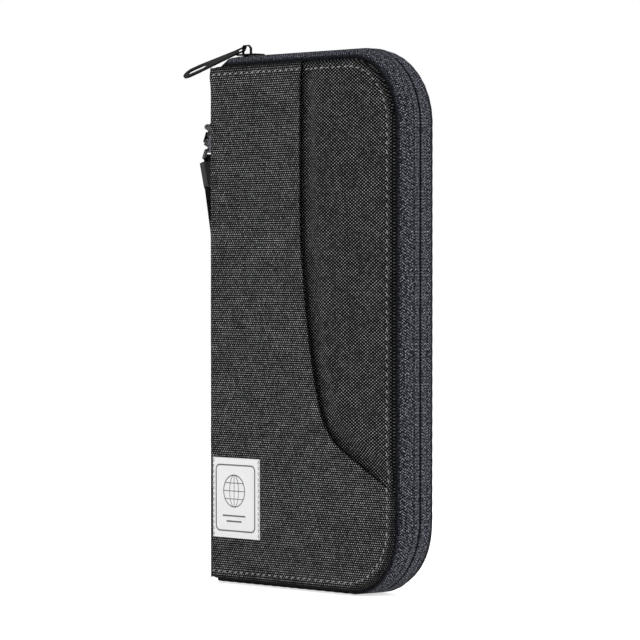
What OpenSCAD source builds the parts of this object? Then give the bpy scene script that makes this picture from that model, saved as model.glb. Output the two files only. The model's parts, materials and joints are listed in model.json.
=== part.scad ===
// Long zip-around travel wallet, closed and standing on the zip's lower run.
// +X runs from the spine to the zip, -Y is the front cover and +Z is up.
// The origin is the middle of the foot that the wallet stands on.

/* [Covers] */
// Width of each cover, from the spine edge to the zip edge
panel_w = 116; // [110:1:125]
// Height of each cover
panel_h = 225; // [215:1:235]
// Thickness of the closed wallet over its two covers
wallet_t = 24; // [24:0.5:28]
// Corner radius of the covers on the zip side
corner_r = 28; // [22:1:32]
// Corner radius of the covers on the spine side
spine_corner_r = 3; // [2:0.5:4]
// Thickness of the outer fabric
fabric_t = 0.8; // [0.6:0.1:0.9]
// Thickness of the foam board inside each cover
board_t = 1.6; // [1.2:0.1:1.7]
// Thickness of the lining fabric
lining_t = 0.5; // [0.3:0.1:0.6]
// How far the boards and linings stay inside the cover's edge
board_inset = 4.5; // [4.3:0.1:6]

/* [Front slip pocket] */
// Distance from the spine edge to the straight part of the mouth
mouth_inset = 59; // [50:1:65]
// Height where the mouth starts to lean towards the zip
mouth_start_z = 173; // [165:1:185]
// Radius of the long upper bend of the mouth
mouth_bend_r = 370; // [340:5:400]
// Lean of the mouth from the vertical where the long bend ends
mouth_lean = 14.6; // [12:0.2:16]
// Radius of the tight lower bend of the mouth
mouth_turn_r = 30; // [25:1:35]
// Lean of the mouth from the vertical where it runs out to the zip edge
mouth_exit_lean = 61; // [55:1:65]
// Depth of the slot behind the pocket's fabric
slot_depth = 1.4; // [1:0.1:1.5]
// Width of the dip beside the mouth where a thumb goes in
mouth_dip = 3.5; // [2:0.5:6]
// Width of the sewn edge of a pocket
hem_w = 4; // [3:0.5:5]

/* [Label] */
// Width of the woven label
label_w = 31; // [20:1:36]
// Height of the woven label
label_h = 35; // [20:1:40]
// Thickness of the woven label
label_t = 0.4; // [0.3:0.1:0.6]
// Distance of the label from the spine edge
label_inset = 1.8; // [1:0.2:5]
// Height of the label's lower edge
label_z = 20; // [10:1:40]

/* [Zip] */
// How far the zip's crest stands out past the covers
gusset_rise = 4.5; // [4.5:0.1:5]
// How far the covers stay above the surface the wallet stands on
foot_rise = 1.5; // [1:0.1:2]
// Thickness of the zip tape
tape_t = 0.7; // [0.5:0.1:0.8]
// Half of the flat band that holds the coils
tape_flat = 4; // [3.5:0.1:4.2]
// Half of the slit between the two tapes
slit_half = 0.35; // [0.35:0.01:0.5]
// Distance from the seam to the outer side of each coil
coil_reach = 2.7; // [2.4:0.1:2.7]
// Thickness of the coils under the tape
coil_t = 1.5; // [1.2:0.1:1.5]

/* [Slider] */
// Length of the slider
slider_l = 12; // [10:0.5:12]
// Width of the slider at its wide end
slider_w = 9; // [8.4:0.2:10]
// Distance of the slider's wide end from the spine edge when closed
slider_inset = 7; // [6.5:0.5:10]
// Thickness of the slider's outer plate
slider_plate_t = 0.7; // [0.6:0.1:1]
// Clear height under the bail
bail_clear = 3.6; // [3.2:0.1:3.8]

/* [Pull tab] */
// Length of the pull tab from its hinge
pull_l = 32; // [28:1:40]
// Radius of the pull tab's round free end
pull_end_r = 4.1; // [3.5:0.1:4.5]
// Thickness of the pull tab
pull_t = 0.8; // [0.8:0.1:1]
// Droop of the pull tab over the spine corner
pull_droop = 21; // [10:1:22]
// Swing of the pull tab towards the front cover
pull_swing = 25; // [15:1:30]
// Roll of the pull tab towards the front cover
pull_roll = 33; // [30:1:38]

/* [Strap anchor] */
// Distance of the anchor behind the middle of the spine
anchor_y = 4; // [4:0.5:7]
// Height of the ring's centre
anchor_z = 212.4; // [200:0.2:214]
// Distance of the ring's bar from the spine
anchor_reach = 6.2; // [5:0.1:8]
// Centreline radius of the ring's bow
ring_r = 6; // [5.6:0.1:6.4]
// Radius of the ring's wire
ring_wire_r = 1; // [0.8:0.1:1.1]

/* [Clasp] */
// Lean of the clasp away from the wallet
clasp_lean = 25; // [15:1:30]
// Length of the clasp from the ring's wire to its foot
clasp_l = 17; // [17:0.5:20]
// Inside radius of the hook
hook_in_r = 2.6; // [2.4:0.1:2.8]
// Outside radius of the hook
hook_out_r = 4.4; // [4.2:0.1:4.8]
// Thickness of the clasp's foot
clasp_t = 3.4; // [3:0.1:4]

/* [Wrist strap] */
// Width of the strap webbing
strap_w = 9; // [8:0.5:10]
// Thickness of the strap webbing
strap_t = 1; // [0.8:0.1:1.2]
// Gap between the two sides of the wrist loop
strap_gap = 5; // [4.6:0.1:5.4]
// Height of the lowest point of the wrist loop
strap_low_z = 24; // [15:1:60]

/* [Hidden] */
$fn = 64;

// Clearance between pieces that move past each other
move_gap = 0.3;
// Running clearance of a small pin in its hole
run_gap = 0.05;

// Cover edges
spine_x = -panel_w / 2;
edge_x = panel_w / 2;
low_z = foot_rise;
high_z = foot_rise + panel_h;
front_y = -wallet_t / 2;
back_y = wallet_t / 2;

// Layers of the front cover, from its outer face inwards
slot_y = front_y + fabric_t;
base_y = slot_y + slot_depth;
front_board_y = base_y + fabric_t;
front_lining_y = front_board_y + board_t;
front_page_y = front_lining_y + lining_t;

// Layers of the back cover, from its outer face inwards
back_fabric_y = back_y - fabric_t;
back_board_t = board_t + fabric_t;
back_board_y = back_fabric_y - back_board_t;
back_page_y = back_board_y - lining_t;

// Zip run: a crest line with round corners, the same centres as the covers' corners above
crest_x = edge_x + gusset_rise;
crest_z = high_z + gusset_rise;
zip_r = corner_r + gusset_rise;
corner_x = edge_x - corner_r;
corner_high_z = high_z - corner_r;
corner_low_z = zip_r;
tape_edge = wallet_t / 2 - 1.4;
tape_tuck = wallet_t / 2 - 3.2;
shoulder_h = tape_edge - tape_flat;
shoulder_r = (pow(gusset_rise, 2) + pow(shoulder_h, 2)) / (2 * gusset_rise);
shoulder_angle = asin(shoulder_h / shoulder_r) - 4;
tuck_angle = asin((tape_tuck - tape_flat) / shoulder_r);
tape_end_x = spine_x + 0.6;
tape_spread = 3.2;

// Slider at its closed place
slider_x = spine_x + slider_inset;
slider_top_z = crest_z + move_gap + slider_plate_t;
slider_low = tape_t + coil_t + move_gap;
tape_bend_x = slider_x;
bail_t = 0.45;
pull_pivot = [slider_x + 2.05, 0, slider_top_z + bail_clear * 0.75];

// Strap anchor, clasp and strap
spine_t = fabric_t + 0.3;
spine_face_x = spine_x - 0.3 - fabric_t;
bar_x = spine_face_x - anchor_reach;
hook_angle = 50;
hook_gap = 0.65;
hook_t = 2.6;
hook_x = bar_x - ring_r * cos(hook_angle);
hook_z = anchor_z - ring_r * sin(hook_angle);
eye_half_w = 3.4;
eye_drop = 3.4;
eye_wire_r = 0.85;
eye_z = -(clasp_l + 2.2 + eye_drop);
eye_x = hook_x + eye_z * sin(clasp_lean);
eye_bar_z = hook_z + eye_z * cos(clasp_lean);
keeper_lean = 15;
keeper_l = 12;
keeper_start = 2;

// Pages inside
page_left = spine_x + 14;
card_w = 90;
card_step = 14;
card_pitch = 1.2;
card_sheet_t = 0.4;
card_low_z = 122;
card_high_z = 164;
coin_low_z = 12;
coin_zip_z = 96;
coin_top_z = 112;
coin_sheet_t = 0.5;
coin_y = back_page_y - 3.6;
coin_zip_half = 4;
ticket_y = front_page_y + 1.3;
passport_y = ticket_y + 0.5 + 1.3;

// ---------- shared shapes ----------

// A plate standing in the XZ plane from y0 to y0 + t, over a 2-D outline drawn as (x, z)
module plate(y0, t) {
    translate([0, y0 + t, 0])
        rotate([90, 0, 0])
            linear_extrude(t) children();
}

// Outline of a cover, drawn inwards by inset
module cover_outline(inset) {
    r = corner_r - inset;
    s = spine_corner_r;
    x0 = spine_x + inset;
    x1 = edge_x - inset;
    z0 = low_z + inset;
    z1 = high_z - inset;
    translate([x0 + s, z0]) square([x1 - r - x0 - s, z1 - z0]);
    translate([x0, z0 + s]) square([s, z1 - z0 - 2 * s]);
    translate([x1 - r, z0 + r]) square([r, z1 - z0 - 2 * r]);
    for (z = [z0 + s, z1 - s]) translate([x0 + s, z]) circle(s);
    for (z = [z0 + r, z1 - r]) translate([x1 - r, z]) circle(r);
}

// Line of the slip pocket's mouth, moved towards the zip by shift
function bend_centre() = [spine_x + mouth_inset + mouth_bend_r, mouth_start_z];
function turn_centre() = bend_centre()
    - (mouth_bend_r - mouth_turn_r) * [cos(mouth_lean), sin(mouth_lean)];
function mouth_line(shift) = concat(
    [[spine_x + mouth_inset + shift, high_z + 5]],
    [for (i = [0:6]) let (a = mouth_lean * i / 6)
        bend_centre() - (mouth_bend_r - shift) * [cos(a), sin(a)]],
    [for (i = [1:10]) let (a = mouth_lean + (mouth_exit_lean - mouth_lean) * i / 10)
        turn_centre() - (mouth_turn_r - shift) * [cos(a), sin(a)]],
    [turn_centre() - (mouth_turn_r - shift) * [cos(mouth_exit_lean), sin(mouth_exit_lean)]
        + 60 * [sin(mouth_exit_lean), -cos(mouth_exit_lean)]]);

// Everything on the zip side of the mouth line
module beyond_mouth(shift) {
    polygon(concat(mouth_line(shift), [[edge_x + 40, high_z + 5]]));
}

// A sewn-on pocket: a sheet with a hem on three sides, open at the top
module page_pocket(y, gap, sheet_t, x0, x1, z0, z1, dir) {
    sheet_y = dir > 0 ? y + gap : y - gap - sheet_t;
    hem_y = dir > 0 ? y : y - gap;
    plate(sheet_y, sheet_t) intersection() {
        cover_outline(board_inset + 1);
        translate([x0, z0]) square([x1 - x0, z1 - z0]);
    }
    plate(hem_y, gap) difference() {
        intersection() {
            cover_outline(board_inset + 1);
            translate([x0, z0]) square([x1 - x0, z1 - z0]);
        }
        intersection() {
            cover_outline(board_inset + 1 + hem_w);
            translate([x0 + hem_w, z0 + hem_w]) square([x1 - x0 - 2 * hem_w, z1 - z0]);
        }
    }
}

// ---------- zip ----------

// Cross-section of one tape as (outwards from the crest, away from the seam)
module tape_profile(angle, inner_edge = slit_half) {
    steps = 8;
    outer = [for (i = [0:steps]) let (a = angle * i / steps)
        [shoulder_r * (cos(a) - 1), tape_flat + shoulder_r * sin(a)]];
    inner = [for (i = [steps:-1:0]) let (a = angle * i / steps)
        [shoulder_r * (cos(a) - 1) - tape_t * cos(a), tape_flat + (shoulder_r - tape_t) * sin(a)]];
    polygon(concat([[-tape_t, inner_edge], [0, inner_edge]], outer, inner));
}

// Flat cross-section of one tape under the wallet, with the lip that is sewn behind the cover
module foot_profile() {
    translate([-tape_t, slit_half]) square([tape_t, tape_tuck - slit_half]);
    translate([-foot_rise - 2.5, tape_tuck - tape_t]) square([foot_rise + 2.5, tape_t]);
}

module coil_profile() {
    translate([-tape_t - coil_t, slit_half]) square([coil_t, coil_reach - slit_half]);
}

// Straight top run from x0 to the corner
module top_run(x0) {
    translate([x0, 0, crest_z])
        rotate([90, 0, 90])
            linear_extrude(corner_x - x0) rotate(90) children();
}

module side_run() {
    translate([crest_x, 0, corner_low_z])
        linear_extrude(corner_high_z - corner_low_z) mirror([0, 1]) children();
}

module foot_run(x0) {
    translate([x0, 0, 0])
        rotate([90, 0, 90])
            linear_extrude(corner_x - x0) mirror([0, 1]) rotate(90) children();
}

module high_corner() {
    translate([corner_x, 0, corner_high_z])
        rotate([90, 0, 0])
            rotate_extrude(angle = 90) translate([zip_r, 0]) children();
}

module low_corner() {
    translate([corner_x, 0, corner_low_z])
        rotate([90, 0, 0])
            rotate([0, 0, -90])
                rotate_extrude(angle = 90) translate([zip_r, 0]) children();
}

// The two tapes part beyond the slider, and each slopes down to the spine's top edge
module tape_end() {
    drop = gusset_rise - 0.7;
    run = tape_bend_x - tape_end_x;
    translate([tape_bend_x, 0, crest_z])
        rotate([0, -atan2(drop, run), 0])
            rotate([90, 0, 90])
                translate([0, 0, -norm([drop, run])])
                    linear_extrude(norm([drop, run]) - 0.2) rotate(90) children();
}

module front_tape() {
    top_run(tape_bend_x) tape_profile(shoulder_angle);
    tape_end() tape_profile(tuck_angle, tape_spread);
    high_corner() tape_profile(shoulder_angle);
    side_run() tape_profile(shoulder_angle);
    low_corner() tape_profile(tuck_angle);
    foot_run(tape_end_x) foot_profile();
}

module front_coil(x0) {
    top_run(x0) coil_profile();
    high_corner() coil_profile();
    side_run() coil_profile();
    low_corner() coil_profile();
    foot_run(tape_end_x + 3) coil_profile();
}

module zip_tape_front() {
    color("#383a42") front_tape();
}

// Under the wallet the back tape laps just over the seam
foot_lap = 0.2;
module zip_tape_back() {
    color("#464952") union() {
        mirror([0, 1, 0]) front_tape();
        translate([tape_end_x, -foot_lap, 0])
            cube([corner_x - tape_end_x, slit_half + 2 * foot_lap, tape_t]);
    }
}

module zip_coil_front() {
    color("#26282e") front_coil(slider_x + slider_l + 0.5);
}

module zip_coil_back() {
    color("#26282e") mirror([0, 1, 0]) front_coil(slider_x + 0.5);
}

// ---------- slider and pull ----------

// Shield outline of the slider, as (from the wide end, across)
module slider_outline(shrink) {
    w = slider_w / 2 - shrink;
    n = slider_w / 2 - 0.9 - shrink;
    polygon([[1.2, -w], [6, -w], [slider_l - 1, -n], [slider_l, -n + 1], [slider_l, n - 1],
        [slider_l - 1, n], [6, w], [1.2, w], [0, w - 1.4], [0, -w + 1.4]]);
}

module slider_body() {
    flange_in = coil_reach + 0.4;
    color("#303134") union() {
        translate([slider_x, 0, crest_z + move_gap])
            linear_extrude(slider_plate_t) slider_outline(0);
        translate([slider_x, 0, crest_z - slider_low - 0.8])
            linear_extrude(0.8) slider_outline(0.3);
        translate([slider_x, 0, crest_z - slider_low])
            linear_extrude(slider_low - tape_t - 0.5)
                difference() {
                    slider_outline(0.3);
                    translate([-1, -flange_in]) square([slider_l + 2, 2 * flange_in]);
                }
        translate([slider_x + 1, -slit_half + 0.1, crest_z - slider_low])
            cube([3, 2 * slit_half - 0.2, slider_low + move_gap]);
    }
}

// Arch over the slider that carries the pull tab
module slider_bail() {
    foot = 0.9;
    span = slider_l / 2;
    color("#303134")
        translate([slider_x + 0.3, bail_t, slider_top_z])
            rotate([90, 0, 0])
                linear_extrude(2 * bail_t)
                    difference() {
                        polygon([[0, 0], [0, bail_clear - 0.2], [0.8, bail_clear + 0.6],
                            [span - 1.6, bail_clear + 0.6], [span, bail_clear - 0.8], [span, 0]]);
                        polygon([[foot, -1], [foot, bail_clear - 0.2], [foot + 0.2, bail_clear],
                            [span - 2, bail_clear], [span - foot, bail_clear - 1.1],
                            [span - foot, -1]]);
                    }
}

// The tab lies along -X from its hinge, which is the local Y axis
module pull_outline() {
    neck = 2.15;
    polygon([[0.4, -neck + 0.3], [0.4, neck - 0.3], [0.1, neck], [-5, neck],
        [-pull_l + 2 * pull_end_r, pull_end_r], [-pull_l + pull_end_r, pull_end_r],
        [-pull_l + pull_end_r, -pull_end_r], [-pull_l + 2 * pull_end_r, -pull_end_r],
        [-5, -neck], [0.1, -neck]]);
    translate([-pull_l + pull_end_r, 0]) circle(pull_end_r);
}

module pull_window() {
    half = 1.6;
    for (x = [0, 6.2]) translate([-pull_l + pull_end_r + x, 0]) circle(half);
    translate([-pull_l + pull_end_r, -half]) square([6.2, 2 * half]);
}

module pull_tab() {
    eye_half = 1.6;
    color("#161617")
        translate(pull_pivot)
            rotate([0, 0, pull_swing])
                rotate([0, -pull_droop, 0])
                    rotate([pull_roll, 0, 0])
                        translate([0, 0, -pull_t / 2])
                            linear_extrude(pull_t)
                                difference() {
                                    pull_outline();
                                    pull_window();
                                    translate([-3.45, -eye_half]) square([3.05, 2 * eye_half]);
                                }
}

// ---------- front cover ----------

module front_outer_panel() {
    color("#333335") union() {
        plate(base_y, fabric_t) cover_outline(0);
        plate(front_y + 0.3, base_y - front_y - 0.3)
            intersection() {
                cover_outline(0);
                beyond_mouth(mouth_dip);
            }
    }
}

module front_slip_pocket() {
    color("#3a3a3c") union() {
        plate(front_y, fabric_t)
            difference() {
                cover_outline(0);
                beyond_mouth(0);
            }
        plate(slot_y, slot_depth)
            difference() {
                cover_outline(0);
                beyond_mouth(0);
                cover_outline(hem_w);
            }
    }
}

module front_board() {
    color("#8c8c8a") plate(front_board_y, board_t) cover_outline(board_inset);
}

module front_lining() {
    color("#4a4e57") plate(front_lining_y, lining_t) cover_outline(board_inset);
}

module label_patch() {
    color("#d6d3d0")
        plate(front_y - label_t, label_t)
            translate([spine_x + label_inset, label_z]) square([label_w, label_h]);
}

module ticket_pocket() {
    color("#50545e")
        page_pocket(front_page_y, 1.3, 0.5, page_left, edge_x, low_z, 196, 1);
}

module passport_pocket() {
    color("#3f434c")
        difference() {
            page_pocket(ticket_y + 0.5, 1.3, 0.5, page_left, edge_x, low_z, 112, 1);
            translate([page_left / 2 + edge_x / 2, passport_y + 2, 116])
                rotate([90, 0, 0]) cylinder(h = 6, r = 14);
        }
}

// ---------- back cover and spine ----------

module back_outer_panel() {
    color("#333335") plate(back_fabric_y, fabric_t) cover_outline(0);
}

module back_board() {
    color("#8c8c8a") plate(back_board_y, back_board_t) cover_outline(board_inset);
}

module back_lining() {
    color("#4a4e57") plate(back_page_y, lining_t) cover_outline(board_inset);
}

module spine_panel() {
    color("#333335")
        translate([spine_face_x, front_y + 0.3, low_z])
            cube([fabric_t, wallet_t - 0.6, panel_h]);
}

module spine_lining() {
    color("#4a4e57")
        translate([spine_face_x + fabric_t, front_y + 3.4, low_z + 2])
            cube([0.3, wallet_t - 6.8, panel_h - 4]);
}

// Elastic loop sewn to the inside of the spine
module pen_loop() {
    loop_r = 4.7;
    web = 0.7;
    loop_x = spine_x + loop_r + 0.1;
    color("#202124")
        translate([loop_x, 0, 92])
            difference() {
                cylinder(h = 30, r = loop_r);
                translate([0, 0, -1]) cylinder(h = 32, r = loop_r - web);
            }
}

// Card slots step down towards the reader, each lower than the one behind it
module card_slot(i) {
    page_pocket(back_page_y - i * card_pitch, card_pitch - card_sheet_t, card_sheet_t,
        page_left, page_left + card_w, card_low_z, card_high_z + (3 - i) * card_step, -1);
}

module card_slot_1() {
    color("#565a64") card_slot(0);
}

module card_slot_2() {
    color("#50545e") card_slot(1);
}

module card_slot_3() {
    color("#4a4e57") card_slot(2);
}

module card_slot_4() {
    color("#444851") card_slot(3);
}

// Zipped coin pocket: a panel below its zip, a header above it and a hem round both
module coin_frame(z0, z1, open_low, open_high) {
    inner_low = open_low ? z0 - 1 : z0 + hem_w;
    inner_high = open_high ? z1 + 1 : z1 - hem_w;
    gap = back_page_y - coin_y - coin_sheet_t;
    plate(coin_y, coin_sheet_t) intersection() {
        cover_outline(board_inset + 1);
        translate([page_left, z0]) square([edge_x - page_left, z1 - z0]);
    }
    plate(coin_y + coin_sheet_t, gap) difference() {
        intersection() {
            cover_outline(board_inset + 1);
            translate([page_left, z0]) square([edge_x - page_left, z1 - z0]);
        }
        intersection() {
            cover_outline(board_inset + 1 + hem_w);
            translate([page_left + hem_w, inner_low])
                square([edge_x - page_left, inner_high - inner_low]);
        }
    }
}

module coin_pocket_panel() {
    color("#4a4e57") coin_frame(coin_low_z - 6, coin_zip_z - coin_zip_half, false, true);
}

module coin_pocket_header() {
    color("#4a4e57") coin_frame(coin_zip_z + coin_zip_half, coin_top_z, true, false);
}

module coin_tape() {
    translate([page_left, coin_y, slit_half])
        cube([edge_x - board_inset - 1 - page_left, coin_sheet_t, coin_zip_half - slit_half]);
}

module coin_zip_tape_lower() {
    color("#26282e") translate([0, 0, coin_zip_z]) mirror([0, 0, 1]) coin_tape();
}

module coin_zip_tape_upper() {
    color("#26282e") translate([0, 0, coin_zip_z]) coin_tape();
}

module coin_zip_coil() {
    color("#17181b")
        for (s = [0, 1])
            translate([page_left + 10, coin_y + coin_sheet_t, coin_zip_z])
                mirror([0, 0, s])
                    translate([0, 0, slit_half])
                        cube([edge_x - board_inset - hem_w - 2 - page_left - 10, 1, 1.6]);
}

// Small slider of the coin pocket, closed at the spine end
coin_slider_x = page_left + 4.5;
coin_slider_l = 8;
module coin_slider() {
    color("#9a9ca0") union() {
        translate([coin_slider_x, coin_y - 0.9, coin_zip_z - 2.8])
            cube([coin_slider_l, 0.7, 5.6]);
        translate([coin_slider_x, coin_y + coin_sheet_t + 1.2, coin_zip_z - 2.6])
            cube([coin_slider_l, 0.6, 5.2]);
        translate([coin_slider_x + 0.6, coin_y - 0.5, coin_zip_z - slit_half + 0.1])
            cube([2, coin_sheet_t + 2, 2 * slit_half - 0.2]);
        translate([coin_slider_x + 5, coin_y - 2.3, coin_zip_z])
            rotate([0, 90, 0])
                difference() {
                    translate([-0.5, 0, 0]) cube([1, 1.6, 1.6]);
                    translate([-2, 0.55, 0.8]) rotate([0, 90, 0]) cylinder(h = 4, r = 0.4);
                }
    }
}

// Pull of the coin slider, hanging from a thin pin through the slider's lug
module coin_pull() {
    arm_gap = 0.5 + run_gap;
    color("#9a9ca0")
        translate([coin_slider_x + 5.8, coin_y - 1.75, coin_zip_z])
            union() {
                translate([0, 0, -1.6]) cylinder(h = 3.2, r = 0.34);
                for (s = [-1, 1])
                    translate([-0.6, -0.45, s * (arm_gap + 0.45) - 0.4]) cube([4.1, 0.9, 0.8]);
                translate([3.5, -0.45, -2.4]) cube([10, 0.9, 4.8]);
            }
}

// ---------- strap anchor, clasp and wrist strap ----------

module at_anchor() {
    translate([bar_x, anchor_y, anchor_z]) children();
}

module strap_tab() {
    web = 0.7;
    in_r = ring_wire_r + 0.1;
    out_r = in_r + web;
    tab_h = 6;
    tab_low = -1.3;
    color("#1d1d1f")
        at_anchor()
            translate([0, 0, tab_low])
                linear_extrude(tab_h)
                    difference() {
                        union() {
                            circle(out_r);
                            translate([0, -out_r]) square([anchor_reach - web, web]);
                            translate([0, out_r - web]) square([anchor_reach - web, web]);
                            translate([anchor_reach - web, -out_r]) square([web, 2 * out_r]);
                        }
                        circle(in_r);
                    }
}

module d_ring() {
    color("#4a4b4e")
        at_anchor()
            union() {
                translate([0, 0, -ring_r]) cylinder(h = 2 * ring_r, r = ring_wire_r);
                rotate([90, 0, 0])
                    rotate([0, 0, 90])
                        rotate_extrude(angle = 180)
                            translate([ring_r, 0]) circle(ring_wire_r);
                for (s = [-1, 1]) translate([0, 0, s * ring_r]) sphere(ring_wire_r);
            }
}

// Local frame of the clasp: -Z runs down its length, Y across it, X through its thickness
module at_clasp() {
    translate([hook_x, anchor_y, hook_z]) rotate([0, clasp_lean, 0]) children();
}

// A plate in the clasp's YZ plane, centred on its thickness
module clasp_plate(t) {
    translate([-t / 2, 0, 0])
        rotate([90, 0, 90])
            linear_extrude(t) children();
}

hook_mid = ring_wire_r + hook_gap - hook_in_r;
gate_pivot = [-2.9, -clasp_l + 5];
pin_r = 0.5;
gate_t = 2.2;

module hook_outline() {
    base_top = -clasp_l + 4;
    difference() {
        translate([0, hook_mid]) circle(hook_out_r);
        translate([0, hook_mid]) circle(hook_in_r);
        translate([-6, hook_mid - 12]) square([6 + hook_in_r, 11]);
        translate([-0.1, hook_mid - 12]) square([6, 12]);
    }
    translate([hook_in_r, base_top]) square([hook_out_r - hook_in_r, hook_mid - base_top]);
}

module clasp_foot_outline() {
    translate([-hook_out_r + 1, -clasp_l]) square([2 * hook_out_r - 2, 4]);
    translate([hook_out_r - 1.8, -clasp_l + 0.8]) square([1.8, 4]);
    translate([-hook_out_r, -clasp_l + 1.4]) square([2.4, 4.8]);
}

module clasp_hook() {
    color("#5c5d61")
        at_clasp()
            difference() {
                union() {
                    clasp_plate(hook_t) hook_outline();
                    clasp_plate(clasp_t) clasp_foot_outline();
                }
                clasp_plate(gate_t + 0.3)
                    translate([-hook_out_r - 1, -clasp_l + 3]) square([3.6, 12]);
                translate([0, 0, -clasp_l - 1]) cylinder(h = 6, r = 1.1 + run_gap);
                translate([-clasp_t, gate_pivot[0], gate_pivot[1]])
                    rotate([0, 90, 0]) cylinder(h = 2 * clasp_t, r = pin_r + 0.01);
            }
}

module gate_pin() {
    color("#6c6d70")
        at_clasp()
            translate([-clasp_t / 2, gate_pivot[0], gate_pivot[1]])
                rotate([0, 90, 0]) cylinder(h = clasp_t, r = pin_r);
}

module clasp_gate() {
    gate_top = hook_mid - 1.3;
    color("#5c5d61")
        at_clasp()
            difference() {
                clasp_plate(gate_t)
                    union() {
                        translate([gate_pivot[0], gate_pivot[1]]) circle(1.1);
                        translate([gate_pivot[0] - 1.1, gate_pivot[1]])
                            square([1.6, gate_top - gate_pivot[1]]);
                        translate([gate_pivot[0] - 2.6, gate_pivot[1] + 4]) circle(1.3);
                        translate([gate_pivot[0] - 2.6, gate_pivot[1] + 2.7]) square([2, 2.6]);
                    }
                translate([-clasp_t, gate_pivot[0], gate_pivot[1]])
                    rotate([0, 90, 0]) cylinder(h = 2 * clasp_t, r = pin_r + run_gap);
            }
}

// Leaf spring lying on the floor of the gate's slot
module gate_spring() {
    color("#8b8c8f")
        at_clasp()
            clasp_plate(1.2)
                translate([-hook_out_r + 0.6, -clasp_l + 3.05]) square([1.9, 0.3]);
}

module swivel_eye() {
    post_r = 1.1;
    half = eye_half_w - eye_wire_r;
    color("#3c3d40")
        at_clasp()
            union() {
                translate([0, 0, -clasp_l + 4 + run_gap]) cylinder(h = 0.7, r = 1.5);
                translate([0, 0, -clasp_l - 2.2]) cylinder(h = 6.5, r = post_r);
                translate([0, 0, -clasp_l - 2.2]) cylinder(h = 1.8, r = 1.7);
                translate([0, 0, -clasp_l - 2.2]) {
                    for (s = [-1, 1])
                        translate([0, s * half, -eye_drop]) cylinder(h = eye_drop, r = eye_wire_r);
                    for (z = [0, -eye_drop])
                        translate([0, 0, z]) {
                            rotate([90, 0, 0])
                                cylinder(h = 2 * half, r = eye_wire_r, center = true);
                            for (s = [-1, 1]) translate([0, s * half, 0]) sphere(eye_wire_r);
                        }
                }
            }
}

// Local frame of the strap's end: the eye's lower bar is the Y axis, -Z runs down the keeper
module at_eye() {
    translate([eye_x, anchor_y, eye_bar_z]) rotate([0, -keeper_lean, 0]) children();
}

module strap_link() {
    in_r = eye_wire_r + 0.15;
    out_r = in_r + 0.7;
    link_w = 2 * (eye_half_w - 2 * eye_wire_r) - 0.4;
    color("#17171a")
        at_eye()
            translate([0, link_w / 2, 0])
                rotate([90, 0, 0])
                    linear_extrude(link_w)
                        difference() {
                            union() {
                                circle(out_r);
                                translate([-out_r, -keeper_start]) square([2 * out_r, keeper_start]);
                            }
                            circle(in_r);
                            translate([-in_r, -keeper_start - 1]) square([2 * in_r, keeper_start + 1]);
                        }
}

module strap_keeper() {
    color("#131315")
        at_eye()
            translate([-1.75, -strap_w / 2, -keeper_start - keeper_l])
                cube([3.5, strap_w, keeper_l]);
}

mid_x = spine_face_x - 5.4 - strap_t - strap_gap / 2;
bend_z = strap_low_z + strap_gap / 2 + strap_t;

// Line round the foot of the wrist loop at a radius, as (along X, up)
function bend_line(r) =
    [for (i = [0:12]) [mid_x + r * cos(15 * i), bend_z - r * sin(15 * i)]];

// Wrist loop: two plies that leave the keeper together and hang beside the spine
module wrist_strap() {
    dir = [sin(keeper_lean), -cos(keeper_lean)];
    side = [cos(keeper_lean), sin(keeper_lean)];
    root = [eye_x, eye_bar_z] + (keeper_start + keeper_l) * dir;
    half = strap_gap / 2 + strap_t;
    split_z = root[1] - 26;
    color("#1b1b1e")
        translate([0, anchor_y + strap_w / 2, 0])
            rotate([90, 0, 0])
                linear_extrude(strap_w)
                    difference() {
                        polygon(concat([root - strap_t * side, root + strap_t * side,
                            [mid_x + half, split_z]],
                            bend_line(half), [[mid_x - half, split_z]]));
                        polygon(concat([root + 3 * dir, [mid_x + strap_gap / 2, split_z]],
                            bend_line(strap_gap / 2), [[mid_x - strap_gap / 2, split_z]]));
                    }
}

back_outer_panel();
back_board();
back_lining();
zip_tape_back();
zip_coil_back();
spine_panel();
spine_lining();
pen_loop();
strap_tab();
card_slot_1();
card_slot_2();
card_slot_3();
card_slot_4();
coin_pocket_panel();
coin_pocket_header();
coin_zip_tape_lower();
coin_zip_tape_upper();
coin_zip_coil();
coin_slider();
coin_pull();
front_outer_panel();
front_board();
front_lining();
front_slip_pocket();
label_patch();
zip_tape_front();
zip_coil_front();
ticket_pocket();
passport_pocket();
slider_body();
slider_bail();
pull_tab();
d_ring();
clasp_hook();
clasp_gate();
gate_pin();
gate_spring();
swivel_eye();
strap_link();
strap_keeper();
wrist_strap();
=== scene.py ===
"""Long zip-around travel wallet: fabric covers, zip gusset, pockets, metal slider, clasp and wrist strap."""

import json
import math

import bmesh
import bpy
from mathutils import Matrix, Vector, noise

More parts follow.
